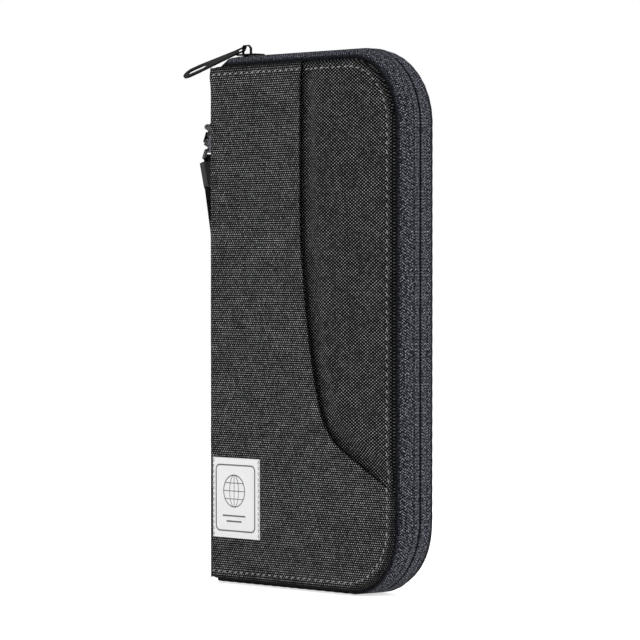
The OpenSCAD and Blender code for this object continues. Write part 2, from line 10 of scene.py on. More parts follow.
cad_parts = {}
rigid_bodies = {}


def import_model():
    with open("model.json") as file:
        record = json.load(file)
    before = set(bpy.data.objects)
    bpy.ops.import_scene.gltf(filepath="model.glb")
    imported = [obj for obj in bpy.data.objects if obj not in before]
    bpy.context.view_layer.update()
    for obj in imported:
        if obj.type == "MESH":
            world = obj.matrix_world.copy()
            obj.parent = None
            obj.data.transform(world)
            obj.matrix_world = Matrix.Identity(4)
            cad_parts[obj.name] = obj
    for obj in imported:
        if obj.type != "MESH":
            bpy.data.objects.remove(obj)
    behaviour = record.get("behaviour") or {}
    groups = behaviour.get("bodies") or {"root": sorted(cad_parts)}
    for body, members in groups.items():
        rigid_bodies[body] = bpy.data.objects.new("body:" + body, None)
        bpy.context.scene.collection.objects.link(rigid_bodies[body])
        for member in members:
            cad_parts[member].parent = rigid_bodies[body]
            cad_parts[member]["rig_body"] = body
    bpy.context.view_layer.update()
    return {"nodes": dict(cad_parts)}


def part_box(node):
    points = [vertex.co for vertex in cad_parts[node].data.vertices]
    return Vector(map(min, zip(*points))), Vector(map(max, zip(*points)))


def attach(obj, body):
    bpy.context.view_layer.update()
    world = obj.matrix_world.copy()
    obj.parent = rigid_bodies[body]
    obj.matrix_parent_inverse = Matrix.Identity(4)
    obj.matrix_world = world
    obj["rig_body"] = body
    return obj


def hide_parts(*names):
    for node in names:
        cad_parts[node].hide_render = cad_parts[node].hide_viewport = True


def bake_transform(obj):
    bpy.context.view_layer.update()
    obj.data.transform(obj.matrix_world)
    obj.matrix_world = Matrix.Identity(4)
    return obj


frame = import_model()

MM = 0.001
RIGHT_ANGLE = math.pi / 2

# ---------- sizes in millimetres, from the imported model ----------

cover_low, cover_high = (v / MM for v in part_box("front_slip_pocket"))
LEFT, RIGHT = cover_low.x, cover_high.x
LOW, HIGH = cover_low.z, cover_high.z
FRONT, BACK = cover_low.y, -cover_low.y
CORNER, SPINE_CORNER = 28.0, 3.0
CORNER_X = RIGHT - CORNER
HIGH_Z, LOW_Z = HIGH - CORNER, LOW + CORNER

# Layers of the front cover
BASE_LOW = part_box("front_slip_pocket")[1].y / MM
FRONT_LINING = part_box("front_lining")[1].y / MM
BACK_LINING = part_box("back_lining")[0].y / MM
LINING_INSET = 4.5
PAGE_INSET = 5.5

# Mouth of the slip pocket: straight, long bend, tight bend, straight to the zip edge
MOUTH_X, MOUTH_Z, BEND_R, TURN_R = LEFT + 59, 173.0, 370.0, 30.0
LEAN, EXIT_LEAN = math.radians(14.6), math.radians(61)
BEND = (MOUTH_X + BEND_R, MOUTH_Z)
TURN = (BEND[0] - (BEND_R - TURN_R) * math.cos(LEAN), BEND[1] - (BEND_R - TURN_R) * math.sin(LEAN))
BEND_END_Z = BEND[1] - BEND_R * math.sin(LEAN)
TURN_END = (TURN[0] - TURN_R * math.cos(EXIT_LEAN), TURN[1] - TURN_R * math.sin(EXIT_LEAN))
MOUTH_EXIT_Z = TURN_END[1] - (RIGHT - TURN_END[0]) / math.tan(EXIT_LEAN)

# Zip
CREST_Z, ZIP_R = 231.0, 32.5
TAPE_BEND_X, TAPE_END_X, TAPE_DROP = LEFT + 7, LEFT + 0.6, 3.8
STITCH_INSET = 3.5


# ---------- camera, floor and light ----------

def make_camera():
    turn = math.radians(47.76)
    data = bpy.data.cameras.new("camera")
    data.sensor_width = 36
    data.lens = 196.875
    data.clip_end = 20
    camera = bpy.data.objects.new("camera", data)
    bpy.context.scene.collection.objects.link(camera)
    reach = 1.5065
    camera.location = (reach * math.sin(turn), -reach * math.cos(turn), 0.1362)
    camera.rotation_euler = (math.radians(90 - 0.783), 0, turn)
    bpy.context.scene.camera = camera


def make_light(name, place, target, size, watts):
    data = bpy.data.lights.new(name, "AREA")
    data.shape = "DISK"
    data.size = size
    data.energy = watts
    lamp = bpy.data.objects.new(name, data)
    bpy.context.scene.collection.objects.link(lamp)
    lamp.location = place
    lamp.rotation_euler = (Vector(target) - Vector(place)).to_track_quat("-Z", "Y").to_euler()


def make_studio():
    middle = (0, 0, 0.11)
    make_light("key_light", (1.3, 0.25, 0.7), middle, 0.7, 13)
    make_light("front_light", (-0.5, -1.5, 0.8), middle, 1.2, 10)
    make_light("top_light", (0.0, 0.1, 1.6), middle, 1.0, 12)
    world = bpy.data.worlds.new("studio")
    bpy.context.scene.world = world
    world.use_nodes = True
    tree = world.node_tree
    tree.nodes.clear()
    soft = node(tree, "Background", Color=(0.95, 0.97, 1.0, 1), Strength=0.5)
    white = node(tree, "Background", Color=(1, 1, 1, 1), Strength=1.0)
    seen = node(tree, "LightPath").outputs["Is Camera Ray"]
    mixed = node(tree, "MixShader", i0=seen, i1=soft.outputs[0], i2=white.outputs[0])
    out = node(tree, "OutputWorld")
    tree.links.new(mixed.outputs[0], out.inputs["Surface"])
    bm = bmesh.new()
    bmesh.ops.create_grid(bm, x_segments=1, y_segments=1, size=4)
    bmesh.ops.translate(bm, vec=(0, 0, -0.0004), verts=bm.verts)
    mesh = bpy.data.meshes.new("floor")
    bm.to_mesh(mesh)
    bm.free()
    floor = bpy.data.objects.new("floor", mesh)
    bpy.context.scene.collection.objects.link(floor)
    material, shader = new_material("floor_paper", (0.9, 0.9, 0.9), 0.6)
    shader.inputs["Emission Color"].default_value = (1, 1, 1, 1)
    shader.inputs["Emission Strength"].default_value = 0.62
    mesh.materials.append(material)


# ---------- shader helpers ----------

def node(tree, kind, settings=None, **sockets):
    """Adds a shader node, sets its options, and fills or links its inputs by name or as i0, i1."""
    made = tree.nodes.new("ShaderNode" + kind)
    for key, value in (settings or {}).items():
        setattr(made, key, value)
    for key, value in sockets.items():
        number = key[1:]
        socket = made.inputs[int(number)] if number.isdigit() else made.inputs[key.replace("_", " ")]
        if isinstance(value, bpy.types.NodeSocket):
            tree.links.new(value, socket)
        else:
            socket.default_value = value
    return made


def calc(tree, operation, *values):
    """A Math node's result."""
    sockets = {f"i{k}": v for k, v in enumerate(values)}
    return node(tree, "Math", {"operation": operation}, **sockets).outputs[0]


def ramp(tree, value, low, high, to_low=0.0, to_high=1.0):
    """The value's range from low to high, eased into to_low to to_high."""
    made = node(tree, "MapRange", {"interpolation_type": "SMOOTHSTEP"}, i0=value, i1=low, i2=high, i3=to_low, i4=to_high)
    return made.outputs[0]


def blend_colour(tree, share, first, second):
    made = node(tree, "Mix", {"data_type": "RGBA"}, i0=share)
    for socket, value in ((made.inputs[6], first), (made.inputs[7], second)):
        if isinstance(value, bpy.types.NodeSocket):
            tree.links.new(value, socket)
        else:
            socket.default_value = (*value, 1)
    return made.outputs[2]


def new_material(name, colour, roughness, metallic=0.0):
    material = bpy.data.materials.new(name)
    material.use_nodes = True
    shader = material.node_tree.nodes["Principled BSDF"]
    shader.inputs["Base Color"].default_value = (*colour, 1)
    shader.inputs["Roughness"].default_value = roughness
    shader.inputs["Metallic"].default_value = metallic
    return material, shader


def new_group(name, inputs, outputs):
    """A node group with vector and number inputs and number outputs."""
    group = bpy.data.node_groups.new(name, "ShaderNodeTree")
    for label, start in inputs:
        kind = "NodeSocketVector" if start is None else "NodeSocketFloat"
        socket = group.interface.new_socket(name=label, in_out="INPUT", socket_type=kind)
        if start is not None:
            socket.default_value = start
    for label in outputs:
        group.interface.new_socket(name=label, in_out="OUTPUT", socket_type="NodeSocketFloat")
    given = group.nodes.new("NodeGroupInput")
    put = group.nodes.new("NodeGroupOutput")
    return group, given.outputs, put.inputs


def use_group(tree, group, **sockets):
    made = tree.nodes.new("ShaderNodeGroup")
    made.node_tree = group
    for key, value in sockets.items():
        socket = made.inputs[key.replace("_", " ")]
        if isinstance(value, bpy.types.NodeSocket):
            tree.links.new(value, socket)
        else:
            socket.default_value = value
    return made.outputs


def object_coordinates(tree):
    return node(tree, "TexCoord").outputs["Object"]


def surface_coordinates(tree):
    return node(tree, "UVMap", {"uv_map": "along_across"}).outputs[0]


def bump(tree, shader, height, strength, distance):
    made = node(tree, "Bump", Height=height, Strength=strength, Distance=distance)
    tree.links.new(made.outputs[0], shader.inputs["Normal"])


# ---------- shader groups ----------

def make_rib_weave():
    """Cloth with raised weft ribs along X and short broken floats of a lighter yarn."""
    inputs = [("Vector", None), ("Rib Pitch", 0.00097), ("Float Length", 0.0013)]
    group, given, put = new_group("rib_weave", inputs, ["Tone", "Height"])
    parts = node(group, "SeparateXYZ", i0=given["Vector"]).outputs
    across = calc(group, "ADD", parts[0], parts[1])
    row = calc(group, "DIVIDE", parts[2], given["Rib Pitch"])
    line = calc(group, "FLOOR", row)
    rib = calc(group, "ABSOLUTE", calc(group, "SINE", calc(group, "MULTIPLY", row, math.pi)))
    step = calc(group, "ADD", calc(group, "DIVIDE", across, given["Float Length"]), calc(group, "MULTIPLY", line, 0.37))
    place = node(group, "CombineXYZ", i0=step, i1=calc(group, "MULTIPLY", line, 3.7), i2=0.0).outputs[0]
    yarn = node(group, "TexNoise", Vector=place, Scale=2.6, Detail=1.0, Roughness=0.6).outputs[0]
    beads = calc(group, "SINE", calc(group, "MULTIPLY", step, 2 * math.pi))
    beads = ramp(group, beads, -0.3, 0.95, 0.04, 1.0)
    patch = node(group, "TexNoise", Vector=given["Vector"], Scale=90.0, Detail=2.0).outputs[0]
    light = calc(group, "MULTIPLY", ramp(group, yarn, 0.34, 0.72, 0.2, 1.0), beads)
    light = calc(group, "MULTIPLY", light, ramp(group, patch, 0.3, 0.7, 0.8, 1.1))
    tone = calc(group, "MULTIPLY", ramp(group, rib, 0.62, 1.0), light)
    group.links.new(tone, put["Tone"])
    group.links.new(calc(group, "MULTIPLY_ADD", light, 0.35, calc(group, "MULTIPLY", rib, 0.65)), put["Height"])
    return group


def make_diamond_weave():
    """Cloth whose light weft and dark warp cross in a small diagonal lattice."""
    inputs = [("Vector", None), ("Warp Pitch", 0.001064), ("Weft Pitch", 0.000692)]
    group, given, put = new_group("diamond_weave", inputs, ["Tone", "Height"])
    parts = node(group, "SeparateXYZ", i0=given["Vector"]).outputs
    warp = calc(group, "MULTIPLY", calc(group, "DIVIDE", parts[0], given["Warp Pitch"]), math.pi)
    weft = calc(group, "MULTIPLY", calc(group, "DIVIDE", parts[2], given["Weft Pitch"]), math.pi)
    crossing = calc(group, "MULTIPLY", calc(group, "SINE", warp), calc(group, "SINE", weft))
    stretched = node(group, "VectorMath", {"operation": "MULTIPLY"}, i0=given["Vector"], i1=(1.0, 1.0, 1.5)).outputs[0]
    yarn = node(group, "TexNoise", Vector=stretched, Scale=620.0, Detail=1.0).outputs[0]
    patch = node(group, "TexNoise", Vector=given["Vector"], Scale=80.0, Detail=2.0).outputs[0]
    light = calc(group, "MULTIPLY", ramp(group, yarn, 0.32, 0.7, 0.4, 1.0), ramp(group, patch, 0.3, 0.7, 0.8, 1.1))
    group.links.new(calc(group, "MULTIPLY", ramp(group, crossing, 0.12, 0.88), light), put["Tone"])
    group.links.new(calc(group, "ABSOLUTE", crossing), put["Height"])
    return group


def make_herringbone():
    """Zip tape weave: diagonals that turn back every few millimetres, on along and across coordinates."""
    group, given, put = new_group("herringbone", [("Vector", None), ("Pitch", 0.0012), ("Stripe", 0.0011)], ["Tone", "Height"])
    parts = node(group, "SeparateXYZ", i0=given["Vector"]).outputs
    folded = calc(group, "PINGPONG", parts[1], given["Stripe"])
    wander = node(group, "TexNoise", Vector=given["Vector"], Scale=350.0, Detail=1.0).outputs[0]
    phase = calc(group, "DIVIDE", calc(group, "ADD", parts[0], folded), given["Pitch"])
    phase = calc(group, "MULTIPLY_ADD", wander, 1.1, phase)
    wave = calc(group, "SINE", calc(group, "MULTIPLY", phase, 2 * math.pi))
    picks = calc(group, "SINE", calc(group, "MULTIPLY", parts[1], 2 * math.pi / 0.0007))
    yarn = node(group, "TexNoise", Vector=given["Vector"], Scale=900.0, Detail=1.0).outputs[0]
    light = calc(group, "MULTIPLY", ramp(group, yarn, 0.35, 0.7, 0.08, 1.0), ramp(group, picks, -1.0, 1.0, 0.2, 1.0))
    group.links.new(calc(group, "MULTIPLY", ramp(group, wave, -0.25, 0.95, 0.02, 1.0), light), put["Tone"])
    group.links.new(ramp(group, wave, -1.0, 1.0), put["Height"])
    return group


def make_webbing_weave():
    """Strap webbing: ribs across the strap, split by fine lengthwise yarns."""
    group, given, put = new_group("webbing_weave", [("Vector", None), ("Rib", 0.0011), ("Yarn", 0.0008)], ["Tone", "Height"])
    parts = node(group, "SeparateXYZ", i0=given["Vector"]).outputs
    ribs = calc(group, "MULTIPLY", calc(group, "DIVIDE", parts[0], given["Rib"]), math.pi)
    yarns = calc(group, "MULTIPLY", calc(group, "DIVIDE", parts[1], given["Yarn"]), math.pi)
    rib = calc(group, "ABSOLUTE", calc(group, "SINE", ribs))
    yarn = calc(group, "ABSOLUTE", calc(group, "SINE", yarns))
    wear = node(group, "TexNoise", Vector=given["Vector"], Scale=260.0, Detail=3.0).outputs[0]
    worn = ramp(group, wear, 0.3, 0.7, 0.5, 1.0)
    group.links.new(calc(group, "MULTIPLY", calc(group, "MULTIPLY", rib, yarn), worn), put["Tone"])
    group.links.new(calc(group, "MULTIPLY_ADD", yarn, 0.4, calc(group, "MULTIPLY", rib, 0.6)), put["Height"])
    return group


def make_lining_twill():
    """Thin lining cloth with a fine slanting twill and soft creases."""
    group, given, put = new_group("lining_twill", [("Vector", None), ("Pitch", 0.0006)], ["Tone", "Height"])
    parts = node(group, "SeparateXYZ", i0=given["Vector"]).outputs
    slant = calc(group, "ADD", calc(group, "ADD", parts[0], parts[1]), parts[2])
    wave = calc(group, "SINE", calc(group, "MULTIPLY", calc(group, "DIVIDE", slant, given["Pitch"]), 2 * math.pi))
    patch = node(group, "TexNoise", Vector=given["Vector"], Scale=60.0, Detail=4.0).outputs[0]
    lines = ramp(group, wave, -1.0, 1.0, 0.5, 1.0)
    patches = ramp(group, patch, 0.3, 0.7, 0.6, 1.0)
    group.links.new(calc(group, "MULTIPLY", lines, patches), put["Tone"])
    group.links.new(calc(group, "MULTIPLY_ADD", patch, 2.0, ramp(group, wave, -1.0, 1.0)), put["Height"])
    return group


def make_metal_wear():
    """Handled metal: smudges and hairlines, and a mask for rubbed edges."""
    group, given, put = new_group("metal_wear", [("Vector", None), ("Scratch Scale", 900.0)], ["Smudge", "Scratch", "Edge"])
    smudge = node(group, "TexNoise", Vector=given["Vector"], Scale=260.0, Detail=3.0).outputs[0]
    pulled = node(group, "VectorMath", {"operation": "MULTIPLY"}, i0=given["Vector"], i1=(0.12, 1.0, 1.0)).outputs[0]
    hair = node(group, "TexNoise", Vector=pulled, Scale=given["Scratch Scale"], Detail=2.0).outputs[0]
    sharp = node(group, "NewGeometry").outputs["Pointiness"]
    broken = ramp(group, node(group, "TexNoise", Vector=given["Vector"], Scale=700.0, Detail=2.0).outputs[0], 0.4, 0.65)
    group.links.new(ramp(group, smudge, 0.35, 0.65), put["Smudge"])
    group.links.new(ramp(group, hair, 0.5, 0.72), put["Scratch"])
    group.links.new(calc(group, "MULTIPLY", ramp(group, sharp, 0.51, 0.58), broken), put["Edge"])
    return group


# ---------- materials ----------

def woven_material(name, group, coordinates, dark, light, roughness, strength, depth, sheen=0.0, **pitches):
    """Cloth: a weave group drives its colour, roughness and bump; where a mesh carries the 'fold' attribute, its colour
    is darkened there as painted shade.
    """
    material, shader = new_material(name, dark, roughness)
    tree = material.node_tree
    weave = use_group(tree, group, Vector=coordinates(tree), **pitches)
    # Painted shade: the 'fold' attribute darkens the cloth's colour along the covers' turned edges.
    unshaded_share = calc(tree, "SUBTRACT", 1.0, node(tree, "Attribute", {"attribute_name": "fold"}).outputs["Fac"])
    colour = blend_colour(tree, calc(tree, "MULTIPLY", weave["Tone"], unshaded_share), dark, light)
    tree.links.new(colour, shader.inputs["Base Color"])
    tree.links.new(ramp(tree, weave["Tone"], 0.0, 1.0, roughness + 0.08, roughness - 0.1), shader.inputs["Roughness"])
    shader.inputs["Sheen Weight"].default_value = sheen
    shader.inputs["Specular IOR Level"].default_value = 0.04
    bump(tree, shader, weave["Height"], strength, depth)
    return material


def tape_material(name, group, dark, light, seam):
    """Zip tape: herringbone, faintly ribbed over the coil, with a dark sewn line, and painted shade at its lip and
    towards its seam.
    """
    material, shader = new_material(name, dark, 0.75)
    tree = material.node_tree
    place = surface_coordinates(tree)
    weave = use_group(tree, group, Vector=place)
    parts = node(tree, "SeparateXYZ", i0=place).outputs
    teeth = calc(tree, "SINE", calc(tree, "MULTIPLY", parts[0], 2 * math.pi / 0.0013))
    speck = node(tree, "TexNoise", Vector=place, Scale=800.0, Detail=1.0).outputs[0]
    over_coil = ramp(tree, parts[1], 0.0037, 0.0042, 0.3, 0.0)
    coil_tone = calc(tree, "MULTIPLY", ramp(tree, teeth, -0.9, 1.0, 0.05, 0.6), ramp(tree, speck, 0.35, 0.7, 0.2, 1.0))
    tone = node(tree, "Mix", i0=over_coil, i2=weave["Tone"], i3=coil_tone).outputs[0]
    sewn = calc(tree, "COMPARE", parts[1], 0.0044, 0.00045)
    # Painted shade at the lip, where the tape turns down into the gap between the coils.
    lip = ramp(tree, parts[1], 0.0007, 0.0015, 0.97, 0.0)
    # Painted shade towards the seam, from seam onwards, where the tape curves down towards the cover's edge.
    seam_shade = ramp(tree, parts[1], seam, seam + 0.0018, 0.0, 0.9)
    # Painted shade (lip and seam) joined with the real dark sewn line.
    shade_and_sewn_line = calc(tree, "MAXIMUM", seam_shade, calc(tree, "MAXIMUM", lip, calc(tree, "MULTIPLY", sewn, 0.35)))
    tone = calc(tree, "MULTIPLY", tone, calc(tree, "SUBTRACT", 1.0, shade_and_sewn_line))
    tree.links.new(blend_colour(tree, tone, dark, light), shader.inputs["Base Color"])
    tree.links.new(ramp(tree, tone, 0.0, 1.0, 0.85, 0.6), shader.inputs["Roughness"])
    shader.inputs["Specular IOR Level"].default_value = 0.05
    relief = node(tree, "Mix", i0=over_coil, i2=weave["Height"], i3=ramp(tree, teeth, -1.0, 1.0)).outputs[0]
    bump(tree, shader, relief, 0.6, 0.0002)
    return material


def metal_material(name, colour, worn, roughness, metallic, specular=0.5):
    material, shader = new_material(name, colour, roughness, metallic)
    tree = material.node_tree
    wear = use_group(tree, metal_wear, Vector=object_coordinates(tree))
    tree.links.new(blend_colour(tree, wear["Edge"], colour, worn), shader.inputs["Base Color"])
    rough = calc(tree, "MULTIPLY_ADD", wear["Smudge"], 0.08, roughness)
    rough = calc(tree, "MULTIPLY_ADD", wear["Scratch"], 0.1, rough)
    tree.links.new(rough, shader.inputs["Roughness"])
    shader.inputs["Specular IOR Level"].default_value = specular
    bump(tree, shader, wear["Scratch"], 0.08, 0.00005)
    return material


def plain_material(name, colour, other, roughness, scale, strength, depth, sheen=0.0):
    """Moulded or spun stuff: grain in its colour, roughness and bump."""
    material, shader = new_material(name, colour, roughness)
    tree = material.node_tree
    grain = node(tree, "TexNoise", Vector=object_coordinates(tree), Scale=scale, Detail=4.0).outputs[0]
    share = ramp(tree, grain, 0.3, 0.7)
    tree.links.new(blend_colour(tree, share, colour, other), shader.inputs["Base Color"])
    tree.links.new(ramp(tree, grain, 0.3, 0.7, roughness - 0.08, roughness + 0.08), shader.inputs["Roughness"])
    shader.inputs["Sheen Weight"].default_value = sheen
    bump(tree, shader, grain, strength, depth)
    return material


rib_weave = make_rib_weave()
diamond_weave = make_diamond_weave()
herringbone = make_herringbone()
webbing_weave = make_webbing_weave()
lining_twill = make_lining_twill()
metal_wear = make_metal_wear()

pocket_cloth = woven_material("pocket_cloth", rib_weave, object_coordinates,
                              (0.0012, 0.0012, 0.0013), (0.50, 0.50, 0.505), 0.85, 0.5, 0.0003)
base_cloth = woven_material("base_cloth", diamond_weave, object_coordinates,
                            (0.0008, 0.0008, 0.0008), (0.27, 0.27, 0.275), 0.85, 0.5, 0.00025)
lining_cloth = woven_material("lining_cloth", lining_twill, object_coordinates,
                              (0.020, 0.022, 0.027), (0.055, 0.060, 0.070), 0.6, 0.3, 0.00006, 0.3)
binding_cloth = woven_material("binding_cloth", webbing_weave, surface_coordinates,
                               (0.006, 0.006, 0.007), (0.05, 0.05, 0.055), 0.75, 0.5, 0.0001)
strap_webbing = woven_material("strap_webbing", webbing_weave, surface_coordinates,
                               (0.003, 0.003, 0.0035), (0.035, 0.035, 0.037), 0.7, 0.8, 0.0003)
tab_webbing = woven_material("tab_webbing", webbing_weave, object_coordinates,
                             (0.003, 0.003, 0.0035), (0.035, 0.035, 0.037), 0.7, 0.7, 0.0002)
# The last argument is where each tape's painted shade towards its seam begins; the back tape's begins sooner, painting
# its far side darker.
front_tape_cloth = tape_material("front_tape_cloth", herringbone,
                                 (0.002, 0.0022, 0.004), (0.30, 0.31, 0.365), 0.0102)
back_tape_cloth = tape_material("back_tape_cloth", herringbone,
                                (0.002, 0.0022, 0.004), (0.30, 0.31, 0.365), 0.0066)
label_weave = woven_material("label_weave", diamond_weave, object_coordinates,
                             (0.62, 0.61, 0.61), (0.80, 0.79, 0.79), 0.75, 0.3, 0.00008, 0.2,
                             Warp_Pitch=0.0004, Weft_Pitch=0.0003)
label_thread = plain_material("label_thread", (0.05, 0.052, 0.06), (0.11, 0.11, 0.12), 0.7, 3000.0, 0.3, 0.00005, 0.2)
seam_thread = plain_material("seam_thread", (0.17, 0.168, 0.145), (0.29, 0.287, 0.25), 0.6, 3000.0, 0.4, 0.00008, 0.3)
coil_nylon = plain_material("coil_nylon", (0.010, 0.010, 0.012), (0.022, 0.022, 0.026), 0.35, 1200.0, 0.1, 0.00003)
foam = plain_material("foam", (0.22, 0.22, 0.21), (0.30, 0.30, 0.29), 0.85, 1500.0, 0.6, 0.0001)
keeper_rubber = plain_material("keeper_rubber", (0.004, 0.004, 0.0045), (0.009, 0.009, 0.010), 0.7, 700.0, 0.3, 0.00008)
black_gloss = metal_material("black_gloss", (0.0012, 0.0012, 0.0014), (0.007, 0.007, 0.008), 0.2, 0.0, 0.05)
gunmetal = metal_material("gunmetal", (0.055, 0.055, 0.06), (0.20, 0.20, 0.21), 0.16, 1.0)
nickel = metal_material("nickel", (0.22, 0.225, 0.23), (0.42, 0.42, 0.42), 0.26, 1.0)
spring_steel = metal_material("spring_steel", (0.5, 0.5, 0.52), (0.6, 0.6, 0.6), 0.3, 1.0)


# ---------- shape helpers, all in millimetres ----------

def ease(start, end, value):
    share = min(max((value - start) / (end - start), 0.0), 1.0)
    return share * share * (3 - 2 * share)


def crowd(share, amount=0.7):
    """Spreads 0 to 1 with its steps crowded towards both ends."""
    return share * (1 - amount) + amount * (0.5 - 0.5 * math.cos(math.pi * share))


def along(points):
    """A function from 0 to 1 that walks a line of points at an even pace."""
    points = [Vector(p) for p in points]
    reach = [0.0]
    for first, second in zip(points, points[1:]):
        reach.append(reach[-1] + (second - first).length)

    def walk(share):
        target = min(max(share, 0.0), 1.0) * reach[-1]
        for k in range(1, len(points)):
            if target <= reach[k] or k == len(points) - 1:
                step = reach[k] - reach[k - 1]
                return points[k - 1].lerp(points[k], (target - reach[k - 1]) / step if step else 0.0)
    walk.length = reach[-1]
    return walk


def arc(centre, radius, start, end, steps):
    """Points on an arc in the XZ plane, its angles in degrees."""
    turns = [math.radians(start + (end - start) * k / steps) for k in range(steps + 1)]
    return [(centre[0] + radius * math.cos(a), centre[1] + radius * math.sin(a)) for a in turns]


def grid(columns, rows, place, uv=None, wrap=False):
    """A grid whose corner shares (0 to 1 across, 0 to 1 up) are put in place, with optional surface coordinates."""
    bm = bmesh.new()
    bmesh.ops.create_grid(bm, x_segments=columns, y_segments=rows, size=1)
    shares = {v: ((v.co.x + 1) / 2, (v.co.y + 1) / 2) for v in bm.verts}
    if uv:
        layer = bm.loops.layers.uv.new("along_across")
        for face in bm.faces:
            for loop in face.loops:
                u, v = uv(*shares[loop.vert])
                loop[layer].uv = (u * MM, v * MM)
    for v, (s, t) in shares.items():
        v.co = place(s, t)
    if wrap:
        bmesh.ops.remove_doubles(bm, verts=bm.verts, dist=0.0005)
    return bm


def face_towards(bm, outward):
    """Turns the faces so that, taken together, they look along outward(face centre)."""
    bm.normal_update()
    total = sum(f.normal.dot(outward(f.calc_center_median())) * f.calc_area() for f in bm.faces)
    if total < 0:
        bmesh.ops.reverse_faces(bm, faces=bm.faces)
    bm.normal_update()


def piece(bm, name, material, body, slot, stands_for=(), sharp=40):
    """Makes the millimetre shape a named piece, in metres, that rides on its body."""
    bmesh.ops.scale(bm, vec=(MM, MM, MM), verts=bm.verts)
    mesh = bpy.data.meshes.new(name)
    bm.to_mesh(mesh)
    bm.free()
    mesh.materials.append(material)
    mesh.shade_smooth()
    mesh.set_sharp_from_angle(angle=math.radians(sharp))
    made = bpy.data.objects.new(name, mesh)
    bpy.context.scene.collection.objects.link(made)
    if body:
        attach(made, body)
    if stands_for:
        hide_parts(*stands_for)
    return made


def thicken(made, thickness):
    """Gives a sheet its thickness on the side away from its faces."""
    solid = made.modifiers.new("thickness", "SOLIDIFY")
    solid.thickness = thickness * MM
    solid.offset = -1
    return made


def finished_copy(node_name, material, slot, bevel):
    """The CAD part's own shape with its edges softened."""
    source = frame["nodes"][node_name]
    bm = bmesh.new()
    bm.from_mesh(source.data)
    bmesh.ops.remove_doubles(bm, verts=bm.verts, dist=1e-6)
    bmesh.ops.dissolve_limit(bm, angle_limit=math.radians(1), verts=bm.verts, edges=bm.edges)
    bmesh.ops.scale(bm, vec=(1 / MM,) * 3, verts=bm.verts)
    made = piece(bm, node_name + "_finish", material, source["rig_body"], slot, [node_name], 35)
    softened = made.modifiers.new("soft_edges", "BEVEL")
    softened.width = bevel * MM
    softened.segments = 3
    softened.limit_method = "ANGLE"
    softened.angle_limit = math.radians(35)
    softened.harden_normals = True
    return made


def capsules(places, size):
    """Short sewn stitches: (centre, direction, outward) with half sizes along, across and out."""
    bm = bmesh.new()
    for centre, direction, outward in places:
        x = Vector(direction).normalized()
        z = Vector(outward).normalized()
        y = z.cross(x)
        turn = Matrix((x * size[0], y * size[1], z * size[2])).transposed().to_4x4()
        turn.translation = Vector(centre)
        bmesh.ops.create_icosphere(bm, subdivisions=1, radius=1, matrix=turn)
    return bm


def ripple(x, z, seed, height=0.12):
    return height * noise.noise(Vector((x * 0.035 + seed, z * 0.022, seed * 0.7)))


# ---------- covers ----------

def edge_distance(x, z):
    """How far a point lies inside the cover's outline."""
    if x > CORNER_X and z > HIGH_Z:
        return CORNER - math.hypot(x - CORNER_X, z - HIGH_Z)
    if x > CORNER_X and z < LOW_Z:
        return CORNER - math.hypot(x - CORNER_X, z - LOW_Z)
    return min(RIGHT - x, HIGH - z, z - LOW)


def spine_bulge(z):
    """How far the cloth puffs out at the front spine edge, most of all beside the top corner."""
    return 0.7 * math.exp(-((z - HIGH + 4.5) / 3.2) ** 2) + 0.18 * (1 + noise.noise(Vector((z * 0.07, 4.0, 2.0))))


def left_edge(z, inset=0.0):
    r = max(SPINE_CORNER - inset * 0.5, 0.5)
    depth = max(r - min(HIGH - inset - z, z - LOW - inset), 0.0)
    return LEFT + inset + r - math.sqrt(max(r * r - depth * depth, 0.0))


def right_edge(z, inset=0.0):
    r = CORNER - inset
    depth = max(z - HIGH_Z, LOW_Z - z, 0.0)
    return CORNER_X + math.sqrt(max(r * r - depth * depth, 0.0))


def mouth(z):
    """The slip pocket's mouth at a height: its X and its lean."""
    if z >= MOUTH_Z:
        return MOUTH_X, 0.0
    if z >= BEND_END_Z:
        return BEND[0] - math.sqrt(BEND_R ** 2 - (BEND[1] - z) ** 2), math.asin((BEND[1] - z) / BEND_R)
    if z >= TURN_END[1]:
        return TURN[0] - math.sqrt(TURN_R ** 2 - (TURN[1] - z) ** 2), math.asin((TURN[1] - z) / TURN_R)
    return TURN_END[0] + (TURN_END[1] - z) * math.tan(EXIT_LEAN), EXIT_LEAN


def past_mouth(x, z):
    line, lean = mouth(z)
    return (x - line) * math.cos(lean)


def mouth_slack(z):
    """How freely the mouth stands open at a height: closed at the top seam and at the zip edge."""
    return ease(-3, 7, HIGH - z) * ease(-2, 14, z - MOUTH_EXIT_Z)


def turned(distance, radius):
    """How far a turned edge falls back, close to the outline."""
    if distance >= radius:
        return 0.0
    gap = radius - max(distance, 0.0)
    return radius - math.sqrt(max(radius ** 2 - gap ** 2, 0.0))


def sewn_dip(distance):
    """The valley that the topstitching pulls into the padding."""
    return 0.28 * math.exp(-((distance - STITCH_INSET) / 0.9) ** 2)


def base_y(x, z):
    """The padded cloth under the slip pocket, dipped where a thumb goes in beside the mouth."""
    past = past_mouth(x, z)
    slack = mouth_slack(z)
    if past < 0:
        rise = (1 - slack) * ease(-1.5, 0, past) * 0.8
    else:
        rise = 1 - slack * (1 - ease(1.6, 11.5, past))
    distance = edge_distance(x, z)
    y = BASE_LOW + (FRONT - BASE_LOW) * rise
    if past > 0:
        y += turned(distance, 1.7) + sewn_dip(distance) - 0.3 * ease(3, 26, distance) + ripple(x, z, 3.0)
    return y


